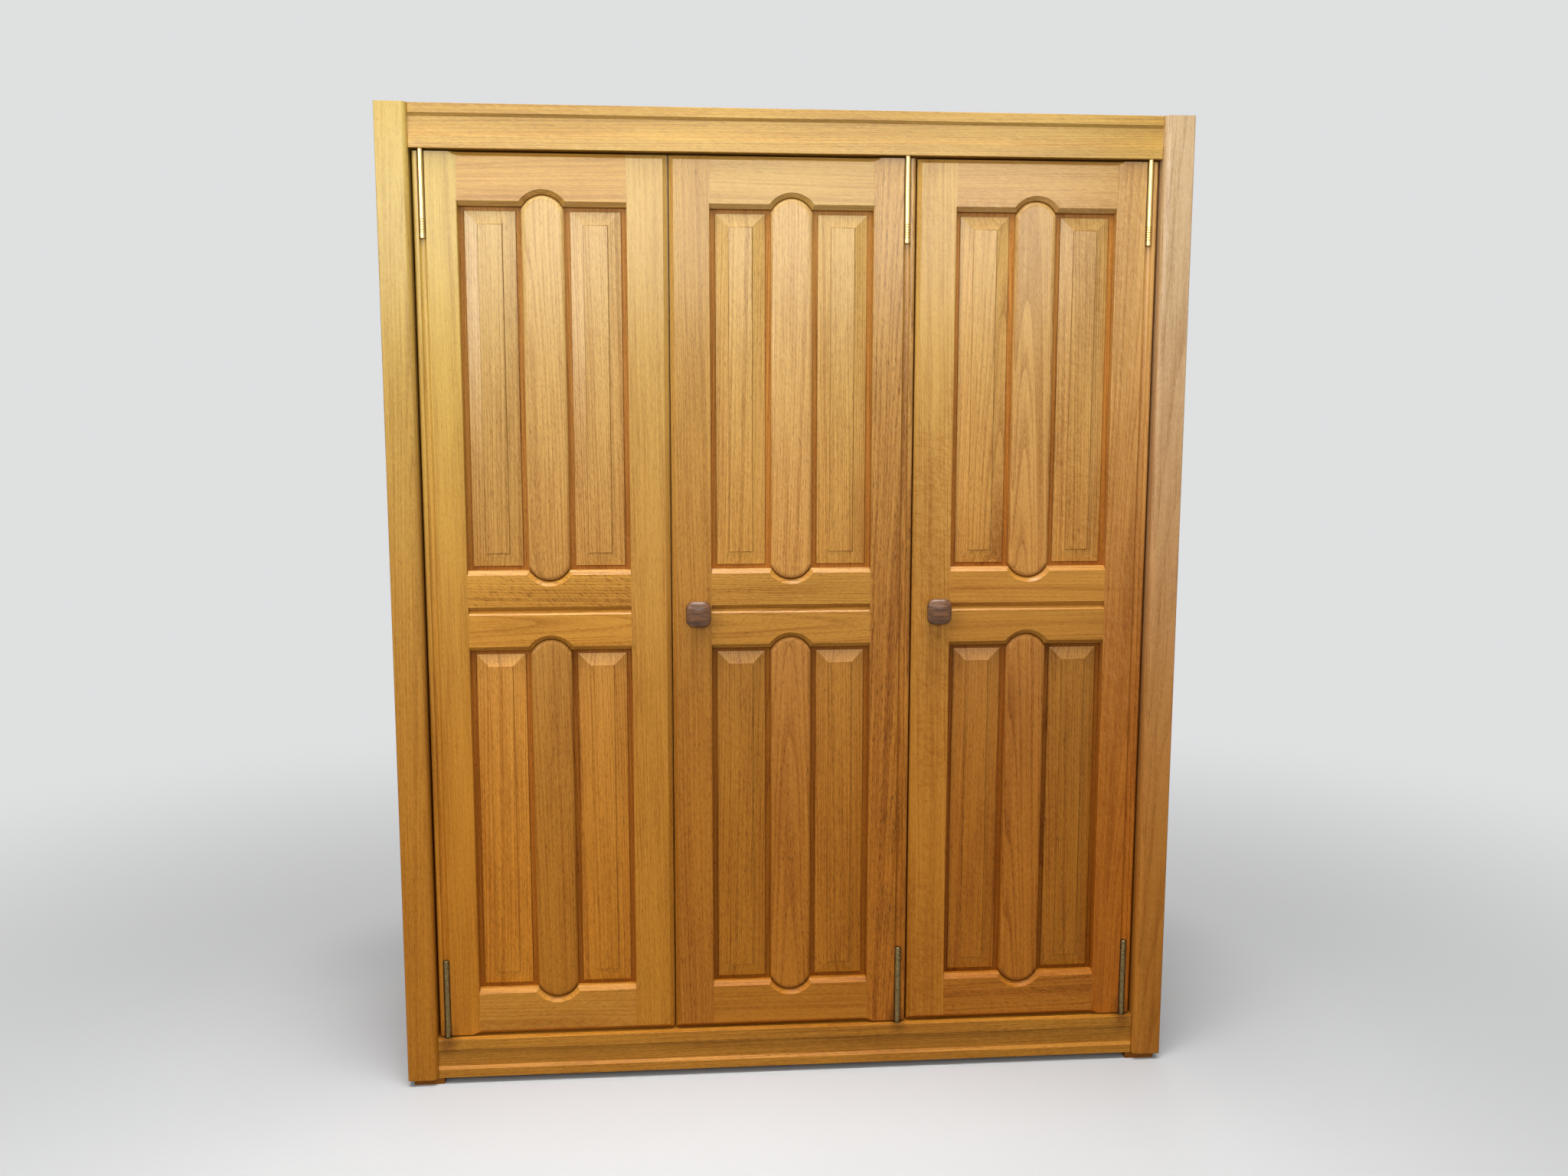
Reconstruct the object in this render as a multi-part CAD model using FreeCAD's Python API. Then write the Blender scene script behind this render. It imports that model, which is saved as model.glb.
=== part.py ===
import FreeCAD, Part
import math
import os

# Three-door panelled oak wardrobe, in millimetres. X runs right, Y back and Z up.
# The origin is on the floor, under the middle of the whole box. The doors face -Y.

# Overall
overall_width = 1540.0
post_height = 1890.0
carcass_depth = 600.0
foot_height = 13.0

# Corner posts
post_width = 58.5
front_post_depth = 80.0
rear_post_depth = 50.0
post_inner_radius = 12.0
post_outer_radius = 3.0
post_back_radius = 2.0

# Rails between the posts, all round
rail_height = 80.5
rail_thickness = 48.0
rail_setback = 8.0
rail_band = 17.5
rail_strip = 23.0
rail_sink = 5.5
rail_end_chamfer = 2.0
rail_arris = 1.2
rail_tenon_inset = 15.0
rail_tenon_thickness = 16.0
rail_tenon_shoulder = 13.0

# Side frames and back
side_inset = 4.0
side_middle_rail_height = 90.0
side_tenon_length = 24.0
rear_inset = 4.0
rear_back_wall = 9.0
muntin_width = 70.0
back_panel_thickness = 8.0

# Lay-in top and bottom boards, partition, shelves
board_thickness = 16.0
board_lap = 6.0
board_clearance = 1.0
partition_thickness = 20.0
partition_housing = 5.0
shelf_thickness = 18.0
shelf_clearance = 1.0
shelf_count = 3
hat_space = 300.0
cleat_thickness = 18.0
hat_cleat_height = 70.0
linen_cleat_height = 30.0
cleat_setback = 4.0

# Hanging rail
tube_diameter = 25.0
tube_wall = 1.6
socket_flange_diameter = 54.0
socket_flange = 4.0
socket_wall = 3.0
socket_length = 16.0
socket_screw_circle = 42.0
tube_fit = 0.1

# Feet
foot_width = 60.0
foot_depth = 62.0
foot_inset = 10.0
foot_radius = 3.0

# Doors
door_setback = 20.0
door_thickness = 31.0
post_gap = 4.0
meeting_gap = 3.5
rail_gap = 3.5
hinge_stile_width = 80.0
free_stile_width = 76.5
top_rail_height = 88.0
middle_rail_height = 70.0
bottom_rail_height = 85.0
rail_chamfer = 8.5
meeting_chamfer = 8.0
edge_chamfer = 8.0
edge_runout = 23.0
edge_lead = 9.0
hinge_edge_radius = 5.0
stile_round = 2.0
back_arris = 1.5
door_tenon_length = 42.0
door_tenon_shoulder = 12.0
meeting_tongue = 1.8
meeting_tongue_depth = 15.0

# Raised and fielded panels
panel_recess = 19.5
panel_tongue = 7.0
panel_margin = 10.5
panel_end_margin = 8.0
panel_step = 2.5
panel_bevel = 25.0
panel_bevel_rise = 6.5
panel_field_step = 1.5
groove_depth = 10.0
panel_play = 2.0
groove_wall = 2.5
tenon_wall = 4.0

# Pilasters between the panels
pilaster_width = 80.0
pilaster_sink = 3.0
pilaster_rim = 9.0
pilaster_rim_drop = 7.5
pilaster_rim_steps = 5
pilaster_gap = 1.5
arch_radius = 53.0
arch_centre_drop = 31.0

# Pivot rods, their bushes and screws
rod_diameter = 12.0
rod_length = 158.0
rod_inset = 16.0
rod_end_chamfer = 1.0
ring_count = 6
ring_pitch = 4.7
ring_width = 1.8
ring_depth = 0.8
ring_start = 11.0
rod_fit = 0.05
rod_groove_slack = 0.6
bush_wall = 1.8
bush_floor = 2.0
bush_end_wall = 4.0
rod_end_clearance = 0.5
swing_clearance = 4.5
pivot_screw_diameter = 4.0
pivot_screw_head = 8.0
pivot_screw_near = 42.0
pivot_screw_far = 122.0
pivot_screw_bite = 4.0

# Knobs
knob_width = 48.5
knob_height = 51.0
knob_corner = 15.0
knob_projection = 36.0
knob_shoulder = 25.5
knob_neck_width = 25.0
knob_neck_height = 6.0
knob_flare_width = 37.0
knob_flare_height = 15.5
knob_base_width = 29.0
knob_base_corner = 9.0
dome_turn = 80.0
dome_steps = 5
knob_spigot_diameter = 14.0
knob_spigot_length = 16.0
knob_inset = 50.0
knob_drop = 6.0

# Catches and their strikes
catch_width = 36.0
catch_thickness = 14.0
catch_grip = 34.0
catch_hang = 52.0
catch_drop = 36.0
magnet_diameter = 12.0
strike_diameter = 20.0
strike_thickness = 2.0
strike_pin_diameter = 4.0
strike_pin_length = 12.0
catch_gap = 0.4

# Countersunk wood screws
screw_diameter = 4.0
screw_head = 8.0
screw_head_height = 2.6
screw_tip = 4.0
screw_point_diameter = 1.0
screw_bite = 9.0

# Fits of the glued and screwed joints
joint_fit = 0.1
tenon_end_gap = 1.0
groove_fit = 0.2
screw_fit = 0.02

# How far a cutting shape runs past the face that it starts from, and a stud into what it is fused with
cut_overrun = 1.0
stud_lap = 1.0

# The most of a straight run that a rounded corner may take
bend_share = 0.45

# Planes of the carcass
half_width = overall_width / 2
opening_half = half_width - post_width
base_z = foot_height
top_z = base_z + post_height
knob_proud = max(knob_projection - door_setback, 0.0)
front_y = (knob_proud - carcass_depth) / 2
back_y = front_y + carcass_depth
front_post_back_y = front_y + front_post_depth
rear_post_front_y = back_y - rear_post_depth
rail_face_y = front_y + rail_setback
rail_back_y = rail_face_y + rail_thickness
floor_z = base_z + rail_height
ceiling_z = top_z - board_thickness

# Side frames and the back
side_rail_thickness = panel_recess + panel_tongue + groove_wall + board_lap
side_face = half_width - side_inset
side_inner = side_face - side_rail_thickness
side_groove_outer = side_face - panel_recess
side_groove_inner = side_groove_outer - panel_tongue
side_middle_z = base_z + post_height / 2
rear_rail_thickness = board_lap + groove_wall + back_panel_thickness + rear_back_wall
rear_face_y = back_y - rear_inset - rear_rail_thickness
rear_groove_y = rear_face_y + board_lap + groove_wall
rail_tenon_length = side_groove_inner - opening_half - tenon_wall
inner_tenon_shoulder = groove_depth + tenon_wall

# Doors
door_width = (2 * opening_half - 2 * post_gap - 2 * meeting_gap) / 3
door_bottom = base_z + rail_height + rail_gap
door_top = top_z - rail_height - rail_gap
door_middle = (door_bottom + door_top) / 2
door_face_y = front_y + door_setback
door_back_y = door_face_y + door_thickness
rod_radius = rod_diameter / 2
inner_front_y = door_face_y + math.hypot(rod_inset, door_thickness) + swing_clearance

left_hinge_x = -opening_half + post_gap
middle_hinge_x = left_hinge_x + 2 * door_width + meeting_gap
right_hinge_x = opening_half - post_gap
partition_x = middle_hinge_x + meeting_gap / 2
partition_left = partition_x - partition_thickness / 2
partition_right = partition_x + partition_thickness / 2

# Shelves
shelf_back_y = rear_face_y - shelf_clearance
cleat_front_y = inner_front_y + cleat_setback
hat_shelf_top = ceiling_z - hat_space
linen_pitch = (ceiling_z - floor_z - shelf_count * shelf_thickness) / (shelf_count + 1) + shelf_thickness


def vector(x, y, z):
    return FreeCAD.Vector(x, y, z)


def block(x0, x1, y0, y1, z0, z1):
    corner = vector(min(x0, x1), min(y0, y1), min(z0, z1))
    return Part.makeBox(abs(x1 - x0), abs(y1 - y0), abs(z1 - z0), corner)


def fuse(shapes):
    return shapes[0].multiFuse(shapes[1:]).removeSplitter()


def cut(shape, tools):
    return shape.cut(Part.makeCompound(tools))


def rod(radius, start, end):
    axis = end - start
    return Part.makeCylinder(radius, axis.Length, start, axis)


def outline(corners, place):
    # A closed outline of straight runs. A corner with a third value is rounded to that radius.
    bends = []
    for index, corner in enumerate(corners):
        here = vector(corner[0], corner[1], 0)
        if len(corner) < 3:
            bends.append((here, here, here))
            continue
        before = vector(*corners[index - 1][:2], 0) - here
        after = vector(*corners[(index + 1) % len(corners)][:2], 0) - here
        half = before.getAngle(after) / 2
        reach = min(corner[2] / math.tan(half), bend_share * before.Length, bend_share * after.Length)
        before.normalize()
        after.normalize()
        inward = before + after
        inward.normalize()
        radius = reach * math.tan(half)
        crest = here + inward * (radius / math.sin(half) - radius)
        bends.append((here + before * reach, crest, here + after * reach))
    edges = []
    for index, (start, middle, end) in enumerate(bends):
        if (end - start).Length > 0:
            edges.append(Part.Arc(place(start), place(middle), place(end)).toShape())
        following = bends[(index + 1) % len(bends)][0]
        edges.append(Part.LineSegment(place(end), place(following)).toShape())
    return Part.Wire(edges)


def upright(plan, z0, z1):
    wire = outline(plan, lambda p: vector(p.x, p.y, z0))
    return Part.Face(wire).extrude(vector(0, 0, z1 - z0))


def crossbar(section, x0, x1):
    wire = outline(section, lambda p: vector(x0, p.x, p.y))
    return Part.Face(wire).extrude(vector(x1 - x0, 0, 0))


def grown(low, high, margins):
    # A box between two corners, enlarged on every side by the margin of its axis.
    low, high = (
        [min(a, b) for a, b in zip(low, high)],
        [max(a, b) for a, b in zip(low, high)],
    )
    spans = []
    for index in range(3):
        spans += [low[index] - margins[index], high[index] + margins[index]]
    return block(*spans)


# Countersunk screws: the head's face is at the head point and the screw runs along the direction

def screw(head, direction, length, diameter, head_diameter, fit=0.0):
    axis = vector(*direction)
    radius = diameter / 2 + fit
    head_radius = head_diameter / 2 + fit
    tip_start = length - screw_tip
    shapes = [
        Part.makeCone(head_radius, radius, screw_head_height, head, axis),
        Part.makeCylinder(radius, tip_start - screw_head_height, head + axis * screw_head_height, axis),
        Part.makeCone(radius, screw_point_diameter / 2, screw_tip + fit, head + axis * tip_start, axis),
    ]
    return fuse(shapes)


def screw_layout():
    # Every wood screw of the carcass, as its head point, its direction and the thickness that it clamps.
    spots = []
    for side, face in ((-1, -opening_half), (1, opening_half)):
        heights = hat_cleat_screw_heights() if side < 0 else linen_cleat_screw_heights()
        for z in heights:
            for y in post_screw_depths():
                spots.append((vector(face - side * cleat_thickness, y, z), (side, 0, 0), cleat_thickness))
    for y in post_screw_depths():
        for z in hat_cleat_screw_heights():
            spots.append((vector(partition_left - cleat_thickness, y, z), (1, 0, 0), cleat_thickness))
        for z in linen_cleat_screw_heights():
            spots.append((vector(partition_right + cleat_thickness, y, z), (-1, 0, 0), cleat_thickness))
    for face, side in socket_faces():
        for drop in (-1, 1):
            head = vector(face + side * socket_flange, tube_y, tube_z + drop * socket_screw_circle / 2)
            spots.append((head, (-side, 0, 0), socket_flange))
    for x in catch_places():
        for offset in (-1, 1):
            head = vector(x + offset * catch_width / 4, rail_back_y + catch_thickness, catch_screw_z)
            spots.append((head, (0, -1, 0), catch_thickness))
    for x, y in foot_centres():
        spots.append((vector(x, y, 0), (0, 0, 1), foot_height))
    return spots


def screw_holes():
    holes = []
    for head, direction, clamped in screw_layout():
        holes.append(screw(head, direction, clamped + screw_bite, screw_diameter, screw_head, screw_fit))
    return holes


def wood_screws():
    solids = []
    for head, direction, clamped in screw_layout():
        solids.append(screw(head, direction, clamped + screw_bite, screw_diameter, screw_head))
    return Part.makeCompound(solids)


def post_screw_depths():
    front = (cleat_front_y + front_post_back_y) / 2
    rear = (shelf_back_y + rear_post_front_y) / 2
    return front, rear


def hat_cleat_screw_heights():
    return [hat_shelf_top - shelf_thickness - hat_cleat_height / 2]


def linen_shelf_tops():
    return [floor_z + linen_pitch * (index + 1) for index in range(shelf_count)]


def linen_cleat_screw_heights():
    return [top - shelf_thickness - linen_cleat_height / 2 for top in linen_shelf_tops()]


# Carcass frame

def rail_levels(side_rail):
    # The upright spans of the top, middle and bottom rails of a side frame, or the top and bottom ones.
    spans = [(base_z, base_z + rail_height), (top_z - rail_height, top_z)]
    if side_rail:
        half = side_middle_rail_height / 2
        spans.insert(1, (side_middle_z - half, side_middle_z + half))
    return spans


def tenon_levels(span, top_free, bottom_free):
    # A tenon stands back further from an edge that holds a panel groove than from a free edge.
    low = span[0] + (rail_tenon_shoulder if bottom_free else inner_tenon_shoulder)
    high = span[1] - (rail_tenon_shoulder if top_free else inner_tenon_shoulder)
    return low, high


def side_tenons(side, margins, end_gap):
    shapes = []
    for index, span in enumerate(rail_levels(True)):
        low, high = tenon_levels(span, index == 2, index == 0)
        for shoulder, tip in (
            (front_post_back_y, front_post_back_y - side_tenon_length - end_gap),
            (rear_post_front_y, rear_post_front_y + side_tenon_length + end_gap),
        ):
            start = (side * side_groove_outer, shoulder, low)
            end = (side * side_groove_inner, tip, high)
            shapes.append(grown(start, end, (margins, 0, margins)))
    return shapes


def front_tenons(side, span, margins, end_gap):
    low, high = span[0] + rail_tenon_shoulder, span[1] - rail_tenon_shoulder
    cheek = rail_face_y + rail_tenon_inset
    start = (side * opening_half, cheek, low)
    end = (side * (opening_half + rail_tenon_length + end_gap), cheek + rail_tenon_thickness, high)
    return grown(start, end, (0, margins, margins))


def rear_tenons(side, index, span, margins, end_gap):
    low, high = tenon_levels(span, index == 1, index == 0)
    start = (side * opening_half, rear_groove_y, low)
    end = (side * (opening_half + rail_tenon_length + end_gap), rear_groove_y + back_panel_thickness, high)
    return grown(start, end, (0, margins, margins))


def side_openings():
    bottom, middle, top = rail_levels(True)
    return (bottom[1], middle[0]), (middle[1], top[0])


def side_post_grooves(side, post_face, inward):
    grooves = []
    for low, high in side_openings():
        x0, x1 = side * side_groove_outer, side * (side_groove_inner - groove_fit)
        y1 = post_face + inward * groove_depth
        grooves.append(block(x0, x1, post_face, y1, low - groove_depth, high + groove_depth))
    return grooves


def front_post(side):
    outer, inner = side * half_width, side * opening_half
    post = upright(
        [
            (outer, front_y, post_outer_radius),
            (inner, front_y, post_inner_radius),
            (inner, front_post_back_y, post_back_radius),
            (outer, front_post_back_y, post_back_radius),
        ],
        base_z,
        top_z,
    )
    tools = [front_tenons(side, span, joint_fit, tenon_end_gap) for span in rail_levels(False)]
    tools += side_tenons(side, joint_fit, tenon_end_gap)
    tools += side_post_grooves(side, front_post_back_y, -1)
    return cut(post, tools + screw_holes())


def rear_post(side):
    outer, inner = side * half_width, side * opening_half
    post = upright(
        [
            (outer, rear_post_front_y, post_back_radius),
            (inner, rear_post_front_y, post_back_radius),
            (inner, back_y, post_back_radius),
            (outer, back_y, post_outer_radius),
        ],
        base_z,
        top_z,
    )
    tools = []
    for index, span in enumerate(rail_levels(False)):
        tools.append(rear_tenons(side, index, span, joint_fit, tenon_end_gap))
    tools += side_tenons(side, joint_fit, tenon_end_gap)
    tools += side_post_grooves(side, rear_post_front_y, 1)
    low, high = rear_opening()
    edge = side * (opening_half + groove_depth)
    groove_back = rear_groove_y + back_panel_thickness + groove_fit
    tools.append(block(inner, edge, rear_groove_y, groove_back, low - groove_depth, high + groove_depth))
    return cut(post, tools + screw_holes())


def board_bed(top):
    # The space that a lay-in board takes out of the rails that it rests on.
    reach_x = side_inner + board_lap
    front = rail_back_y - board_lap
    back = rear_face_y + board_lap
    return block(-reach_x, reach_x, front, back, top - board_thickness, top)


def side_rails(side):
    rails = []
    tenons = side_tenons(side, 0, 0)
    openings = side_openings()
    for index, (low, high) in enumerate(rail_levels(True)):
        x0, x1 = side * side_face, side * side_inner
        body = block(x0, x1, front_post_back_y, rear_post_front_y, low, high)
        body = fuse([body] + tenons[2 * index:2 * index + 2])
        tools = []
        for opening in openings:
            start = (side * side_groove_outer, front_post_back_y, opening[0] - groove_depth)
            end = (side * (side_groove_inner - groove_fit), rear_post_front_y, opening[1] + groove_depth)
            tools.append(grown(start, end, (0, 0, 0)))
        if index == 0:
            tools.append(board_bed(floor_z))
        if index == 2:
            tools.append(board_bed(top_z))
        rails.append(cut(body, tools))
    return Part.makeCompound(rails)


def front_rail(span, outer, inner):
    # A rail with a flat band on its outer edge, a sunk field and a square strip beside the doors.
    inward = 1 if inner > outer else -1
    field = rail_face_y + rail_sink
    band = outer + inward * rail_band
    strip = inner - inward * rail_strip
    section = [
        (rail_face_y, outer, rail_arris),
        (rail_face_y, band),
        (field, band + inward * rail_sink),
        (field, strip),
        (rail_face_y, strip, rail_arris),
        (rail_face_y, inner, rail_arris),
        (rail_back_y, inner),
        (rail_back_y, outer),
    ]
    body = crossbar(section, -opening_half, opening_half)
    body = fuse([body] + [front_tenons(side, span, 0, 0) for side in (-1, 1)])
    tools = []
    for side in (-1, 1):
        end = side * opening_half
        plan = [
            (end, rail_face_y),
            (end - side * rail_end_chamfer, rail_face_y),
            (end, rail_face_y + rail_end_chamfer),
        ]
        tools.append(upright(plan, *span))
    for door in doors:
        tools.append(bush_seat(door, inner, -inward))
    return cut(body, tools + screw_holes())


def top_front_rail():
    span = (top_z - rail_height, top_z)
    return front_rail(span, span[1], span[0]).cut(board_bed(top_z))


def bottom_front_rail():
    span = (base_z, base_z + rail_height)
    return front_rail(span, span[0], span[1]).cut(board_bed(floor_z))


def rear_opening():
    return base_z + rail_height, top_z - rail_height


def rear_rails():
    rails = []
    low_edge, high_edge = rear_opening()
    groove_back = rear_groove_y + back_panel_thickness + groove_fit
    groove = block(-opening_half, opening_half, rear_groove_y, groove_back, low_edge - groove_depth,
                   high_edge + groove_depth)
    for index, span in enumerate(rail_levels(False)):
        body = block(-opening_half, opening_half, rear_face_y, rear_face_y + rear_rail_thickness, *span)
        body = fuse([body] + [rear_tenons(side, index, span, 0, 0) for side in (-1, 1)])
        rails.append(cut(body, [groove, board_bed(floor_z if index == 0 else top_z)]))
    return Part.makeCompound(rails)


def muntin_centres():
    return -partition_x, partition_x


def rear_muntins():
    low, high = rear_opening()
    tongue = groove_depth - panel_play
    groove_back = rear_groove_y + back_panel_thickness + groove_fit
    muntins = []
    for x in muntin_centres():
        half = muntin_width / 2
        body = block(x - half, x + half, rear_face_y, rear_face_y + rear_rail_thickness, low, high)
        core = half - groove_depth
        stub = block(x - core, x + core, rear_groove_y, rear_groove_y + back_panel_thickness, low - tongue,
                     high + tongue)
        grooves = []
        for edge in (-1, 1):
            grooves.append(block(x + edge * core, x + edge * half, rear_groove_y, groove_back, low, high))
        muntins.append(fuse([cut(body, grooves), stub]))
    return Part.makeCompound(muntins)


def back_panels():
    low, high = rear_opening()
    tongue = groove_depth - panel_play
    half = muntin_width / 2
    first, second = muntin_centres()
    bays = [(-opening_half, first - half), (first + half, second - half), (second + half, opening_half)]
    panels = []
    for x0, x1 in bays:
        panels.append(block(x0 - tongue, x1 + tongue, rear_groove_y, rear_groove_y + back_panel_thickness,
                            low - groove_depth, high + tongue))
    return Part.makeCompound(panels)


def fielded_panel(width, height):
    # A panel about the middle of its opening, with Y back from the face of the frame around it.
    tongue = groove_depth - panel_play
    x, z = width / 2, height / 2
    raised_x, raised_z = x - panel_margin, z - panel_end_margin
    field_x, field_z = raised_x - panel_bevel, raised_z - panel_bevel
    step_y = panel_recess - panel_step
    bevel_y = step_y - panel_bevel_rise
    field_y = bevel_y - panel_field_step
    board = block(-x - tongue, x + tongue, panel_recess, panel_recess + panel_tongue, -z - groove_depth,
                  z + tongue)
    step = block(-raised_x, raised_x, step_y, panel_recess, -raised_z, raised_z)
    bevel = Part.makeWedge(-field_x, bevel_y, -field_z, -raised_z, -raised_x,
                           field_x, step_y, field_z, raised_z, raised_x)
    field = block(-field_x, field_x, field_y, bevel_y, -field_z, field_z)
    return fuse([board, step, bevel, field])


def side_panels(side):
    panels = []
    for low, high in side_openings():
        panel = fielded_panel(rear_post_front_y - front_post_back_y, high - low)
        panel.rotate(vector(0, 0, 0), vector(0, 0, 1), side * 90)
        middle_y = (rear_post_front_y + front_post_back_y) / 2
        panel.translate(vector(side * side_face, middle_y, (low + high) / 2))
        panels.append(panel)
    return Part.makeCompound(panels)


def post_clearances():
    blocks = []
    for side in (-1, 1):
        inner = side * (opening_half - board_clearance)
        outer = side * half_width
        blocks.append(block(inner, outer, front_y, front_post_back_y + board_clearance, base_z, top_z))
        blocks.append(block(inner, outer, rear_post_front_y - board_clearance, back_y, base_z, top_z))
    return blocks


def lay_in_board(top):
    reach_x = side_inner + board_lap - board_clearance
    front = rail_back_y - board_lap + board_clearance
    back = rear_face_y + board_lap - board_clearance
    board = block(-reach_x, reach_x, front, back, top - board_thickness, top)
    return cut(board, post_clearances())


def partition_block(fit):
    return grown(
        (partition_left, inner_front_y, floor_z - partition_housing),
        (partition_right, rear_face_y, ceiling_z + partition_housing),
        (fit, fit, 0),
    )


def top_board():
    return lay_in_board(top_z).cut(partition_block(joint_fit))


def bottom_board():
    return lay_in_board(floor_z).cut(partition_block(joint_fit))


def partition():
    return cut(partition_block(0), screw_holes())


def hat_shelf():
    x0, x1 = -opening_half + shelf_clearance, partition_left - shelf_clearance
    return block(x0, x1, inner_front_y, shelf_back_y, hat_shelf_top - shelf_thickness, hat_shelf_top)


def linen_shelves():
    x0, x1 = partition_right + shelf_clearance, opening_half - shelf_clearance
    shelves = []
    for top in linen_shelf_tops():
        shelves.append(block(x0, x1, inner_front_y, shelf_back_y, top - shelf_thickness, top))
    return Part.makeCompound(shelves)


def shelf_cleats():
    spots = []
    under_hat = hat_shelf_top - shelf_thickness
    spots.append((-opening_half, 1, under_hat, hat_cleat_height))
    spots.append((partition_left, -1, under_hat, hat_cleat_height))
    for top in linen_shelf_tops():
        spots.append((partition_right, 1, top - shelf_thickness, linen_cleat_height))
        spots.append((opening_half, -1, top - shelf_thickness, linen_cleat_height))
    cleats = []
    for face, inward, under, height in spots:
        cleat = block(face, face + inward * cleat_thickness, cleat_front_y, shelf_back_y, under - height, under)
        cleats.append(cut(cleat, screw_holes()))
    return Part.makeCompound(cleats)


# Hanging rail under the hat shelf, in a flanged socket on each of the two deep cleats

tube_y = (inner_front_y + shelf_back_y) / 2
tube_z = hat_shelf_top - shelf_thickness - hat_cleat_height / 2


def socket_faces():
    return (-opening_half + cleat_thickness, 1), (partition_left - cleat_thickness, -1)


def hanging_rail():
    (left, _), (right, _) = socket_faces()
    start, end = vector(left + socket_flange, tube_y, tube_z), vector(right - socket_flange, tube_y, tube_z)
    return rod(tube_diameter / 2, start, end).cut(rod(tube_diameter / 2 - tube_wall, start, end))


def rail_sockets():
    sockets = []
    bore = tube_diameter / 2 + tube_fit
    for face, side in socket_faces():
        foot = vector(face, tube_y, tube_z)
        seat = vector(face + side * socket_flange, tube_y, tube_z)
        rim = vector(face + side * socket_length, tube_y, tube_z)
        flange = rod(socket_flange_diameter / 2, foot, seat)
        cup = rod(bore + socket_wall, foot, rim).cut(rod(bore, seat, rim))
        sockets.append(cut(fuse([flange, cup]), screw_holes()))
    return Part.makeCompound(sockets)


# Feet under the posts

def foot_centres():
    x = half_width - foot_inset - foot_width / 2
    front = front_y + foot_inset + foot_depth / 2
    back = back_y - foot_inset - foot_depth / 2
    return [(side * x, y) for side in (-1, 1) for y in (front, back)]


def feet():
    pads = []
    for x, y in foot_centres():
        dx, dy = foot_width / 2, foot_depth / 2
        corners = [(x - dx, y - dy), (x + dx, y - dy), (x + dx, y + dy), (x - dx, y + dy)]
        pad = upright([corner + (foot_radius,) for corner in corners], 0, foot_height)
        pads.append(cut(pad, screw_holes()))
    return Part.makeCompound(pads)


# Doors. U runs across a door from its hinge edge and D back from its face.

class Door:
    def __init__(self, name, hinge_x, turn, has_knob, has_tongue):
        self.name = name
        self.hinge_x = hinge_x
        self.turn = turn
        self.has_knob = has_knob
        self.has_tongue = has_tongue

    def point(self, u, d, z):
        return vector(self.hinge_x + self.turn * u, door_face_y + d, z)

    def block(self, u0, u1, d0, d1, z0, z1):
        low, high = self.point(u0, d0, z0), self.point(u1, d1, z1)
        return block(low.x, high.x, low.y, high.y, low.z, high.z)

    def upright(self, plan, z0, z1):
        wire = outline(plan, lambda p: self.point(p.x, p.y, z0))
        return Part.Face(wire).extrude(vector(0, 0, z1 - z0))

    def crossbar(self, section, u0, u1):
        wire = outline(section, lambda p: self.point(u0, p.x, p.y))
        return Part.Face(wire).extrude(vector(self.turn * (u1 - u0), 0, 0))


doors = [
    Door("left", left_hinge_x, 1, False, True),
    Door("middle", middle_hinge_x, -1, True, False),
    Door("right", right_hinge_x, -1, True, False),
]

free_stile_u = door_width - free_stile_width
opening_middle_u = (hinge_stile_width + free_stile_u) / 2
panel_width = (free_stile_u - hinge_stile_width - pilaster_width) / 2
knob_u = door_width - knob_inset
knob_z = door_middle - knob_drop
strike_u = door_width - free_stile_width / 2
strike_z = door_top - catch_drop
catch_screw_z = top_z - rail_height + catch_grip / 2

# Each rail as its outer edge and its face edge beside the panels
top_rail = (door_top, door_top - top_rail_height)
upper_middle_rail = (door_middle, door_middle + middle_rail_height)
lower_middle_rail = (door_middle, door_middle - middle_rail_height)
bottom_rail = (door_bottom, door_bottom + bottom_rail_height)
door_rails = (top_rail, upper_middle_rail, lower_middle_rail, bottom_rail)


def toward_panel(rail):
    return 1 if rail[1] > rail[0] else -1


def sight_edge(rail):
    # The edge that stands out past the chamfer, where the panel enters its groove.
    return rail[1] + toward_panel(rail) * rail_chamfer


def door_openings():
    upper = (sight_edge(upper_middle_rail), sight_edge(top_rail))
    lower = (sight_edge(bottom_rail), sight_edge(lower_middle_rail))
    return upper, lower


def rail_tenon(door, rail, at_hinge, margin, end_gap):
    way = toward_panel(rail)
    edges = (rail[0] + way * door_tenon_shoulder, sight_edge(rail) - way * inner_tenon_shoulder)
    low, high = min(edges) - margin, max(edges) + margin
    shoulder = hinge_stile_width if at_hinge else free_stile_u
    tip = shoulder + (-1 if at_hinge else 1) * (door_tenon_length + end_gap)
    return door.block(shoulder, tip, panel_recess - margin, panel_recess + panel_tongue + margin, low, high)


def stile_cuts(door, at_hinge):
    edge = hinge_stile_width if at_hinge else free_stile_u
    into = -1 if at_hinge else 1
    tools = [rail_tenon(door, rail, at_hinge, joint_fit, tenon_end_gap) for rail in door_rails]
    groove_back = panel_recess + panel_tongue + groove_fit
    for low, high in door_openings():
        tools.append(door.block(edge, edge + into * groove_depth, panel_recess, groove_back,
                                low - groove_depth, high + groove_depth))
    for low, high in ((upper_middle_rail[1], top_rail[1]), (bottom_rail[1], lower_middle_rail[1])):
        corner = door.block(edge, edge + into * stile_round, 0, stile_round, low, high)
        axis_u = edge + into * stile_round
        tools.append(corner.cut(rod(stile_round, door.point(axis_u, stile_round, low),
                                    door.point(axis_u, stile_round, high))))
    return tools


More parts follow.
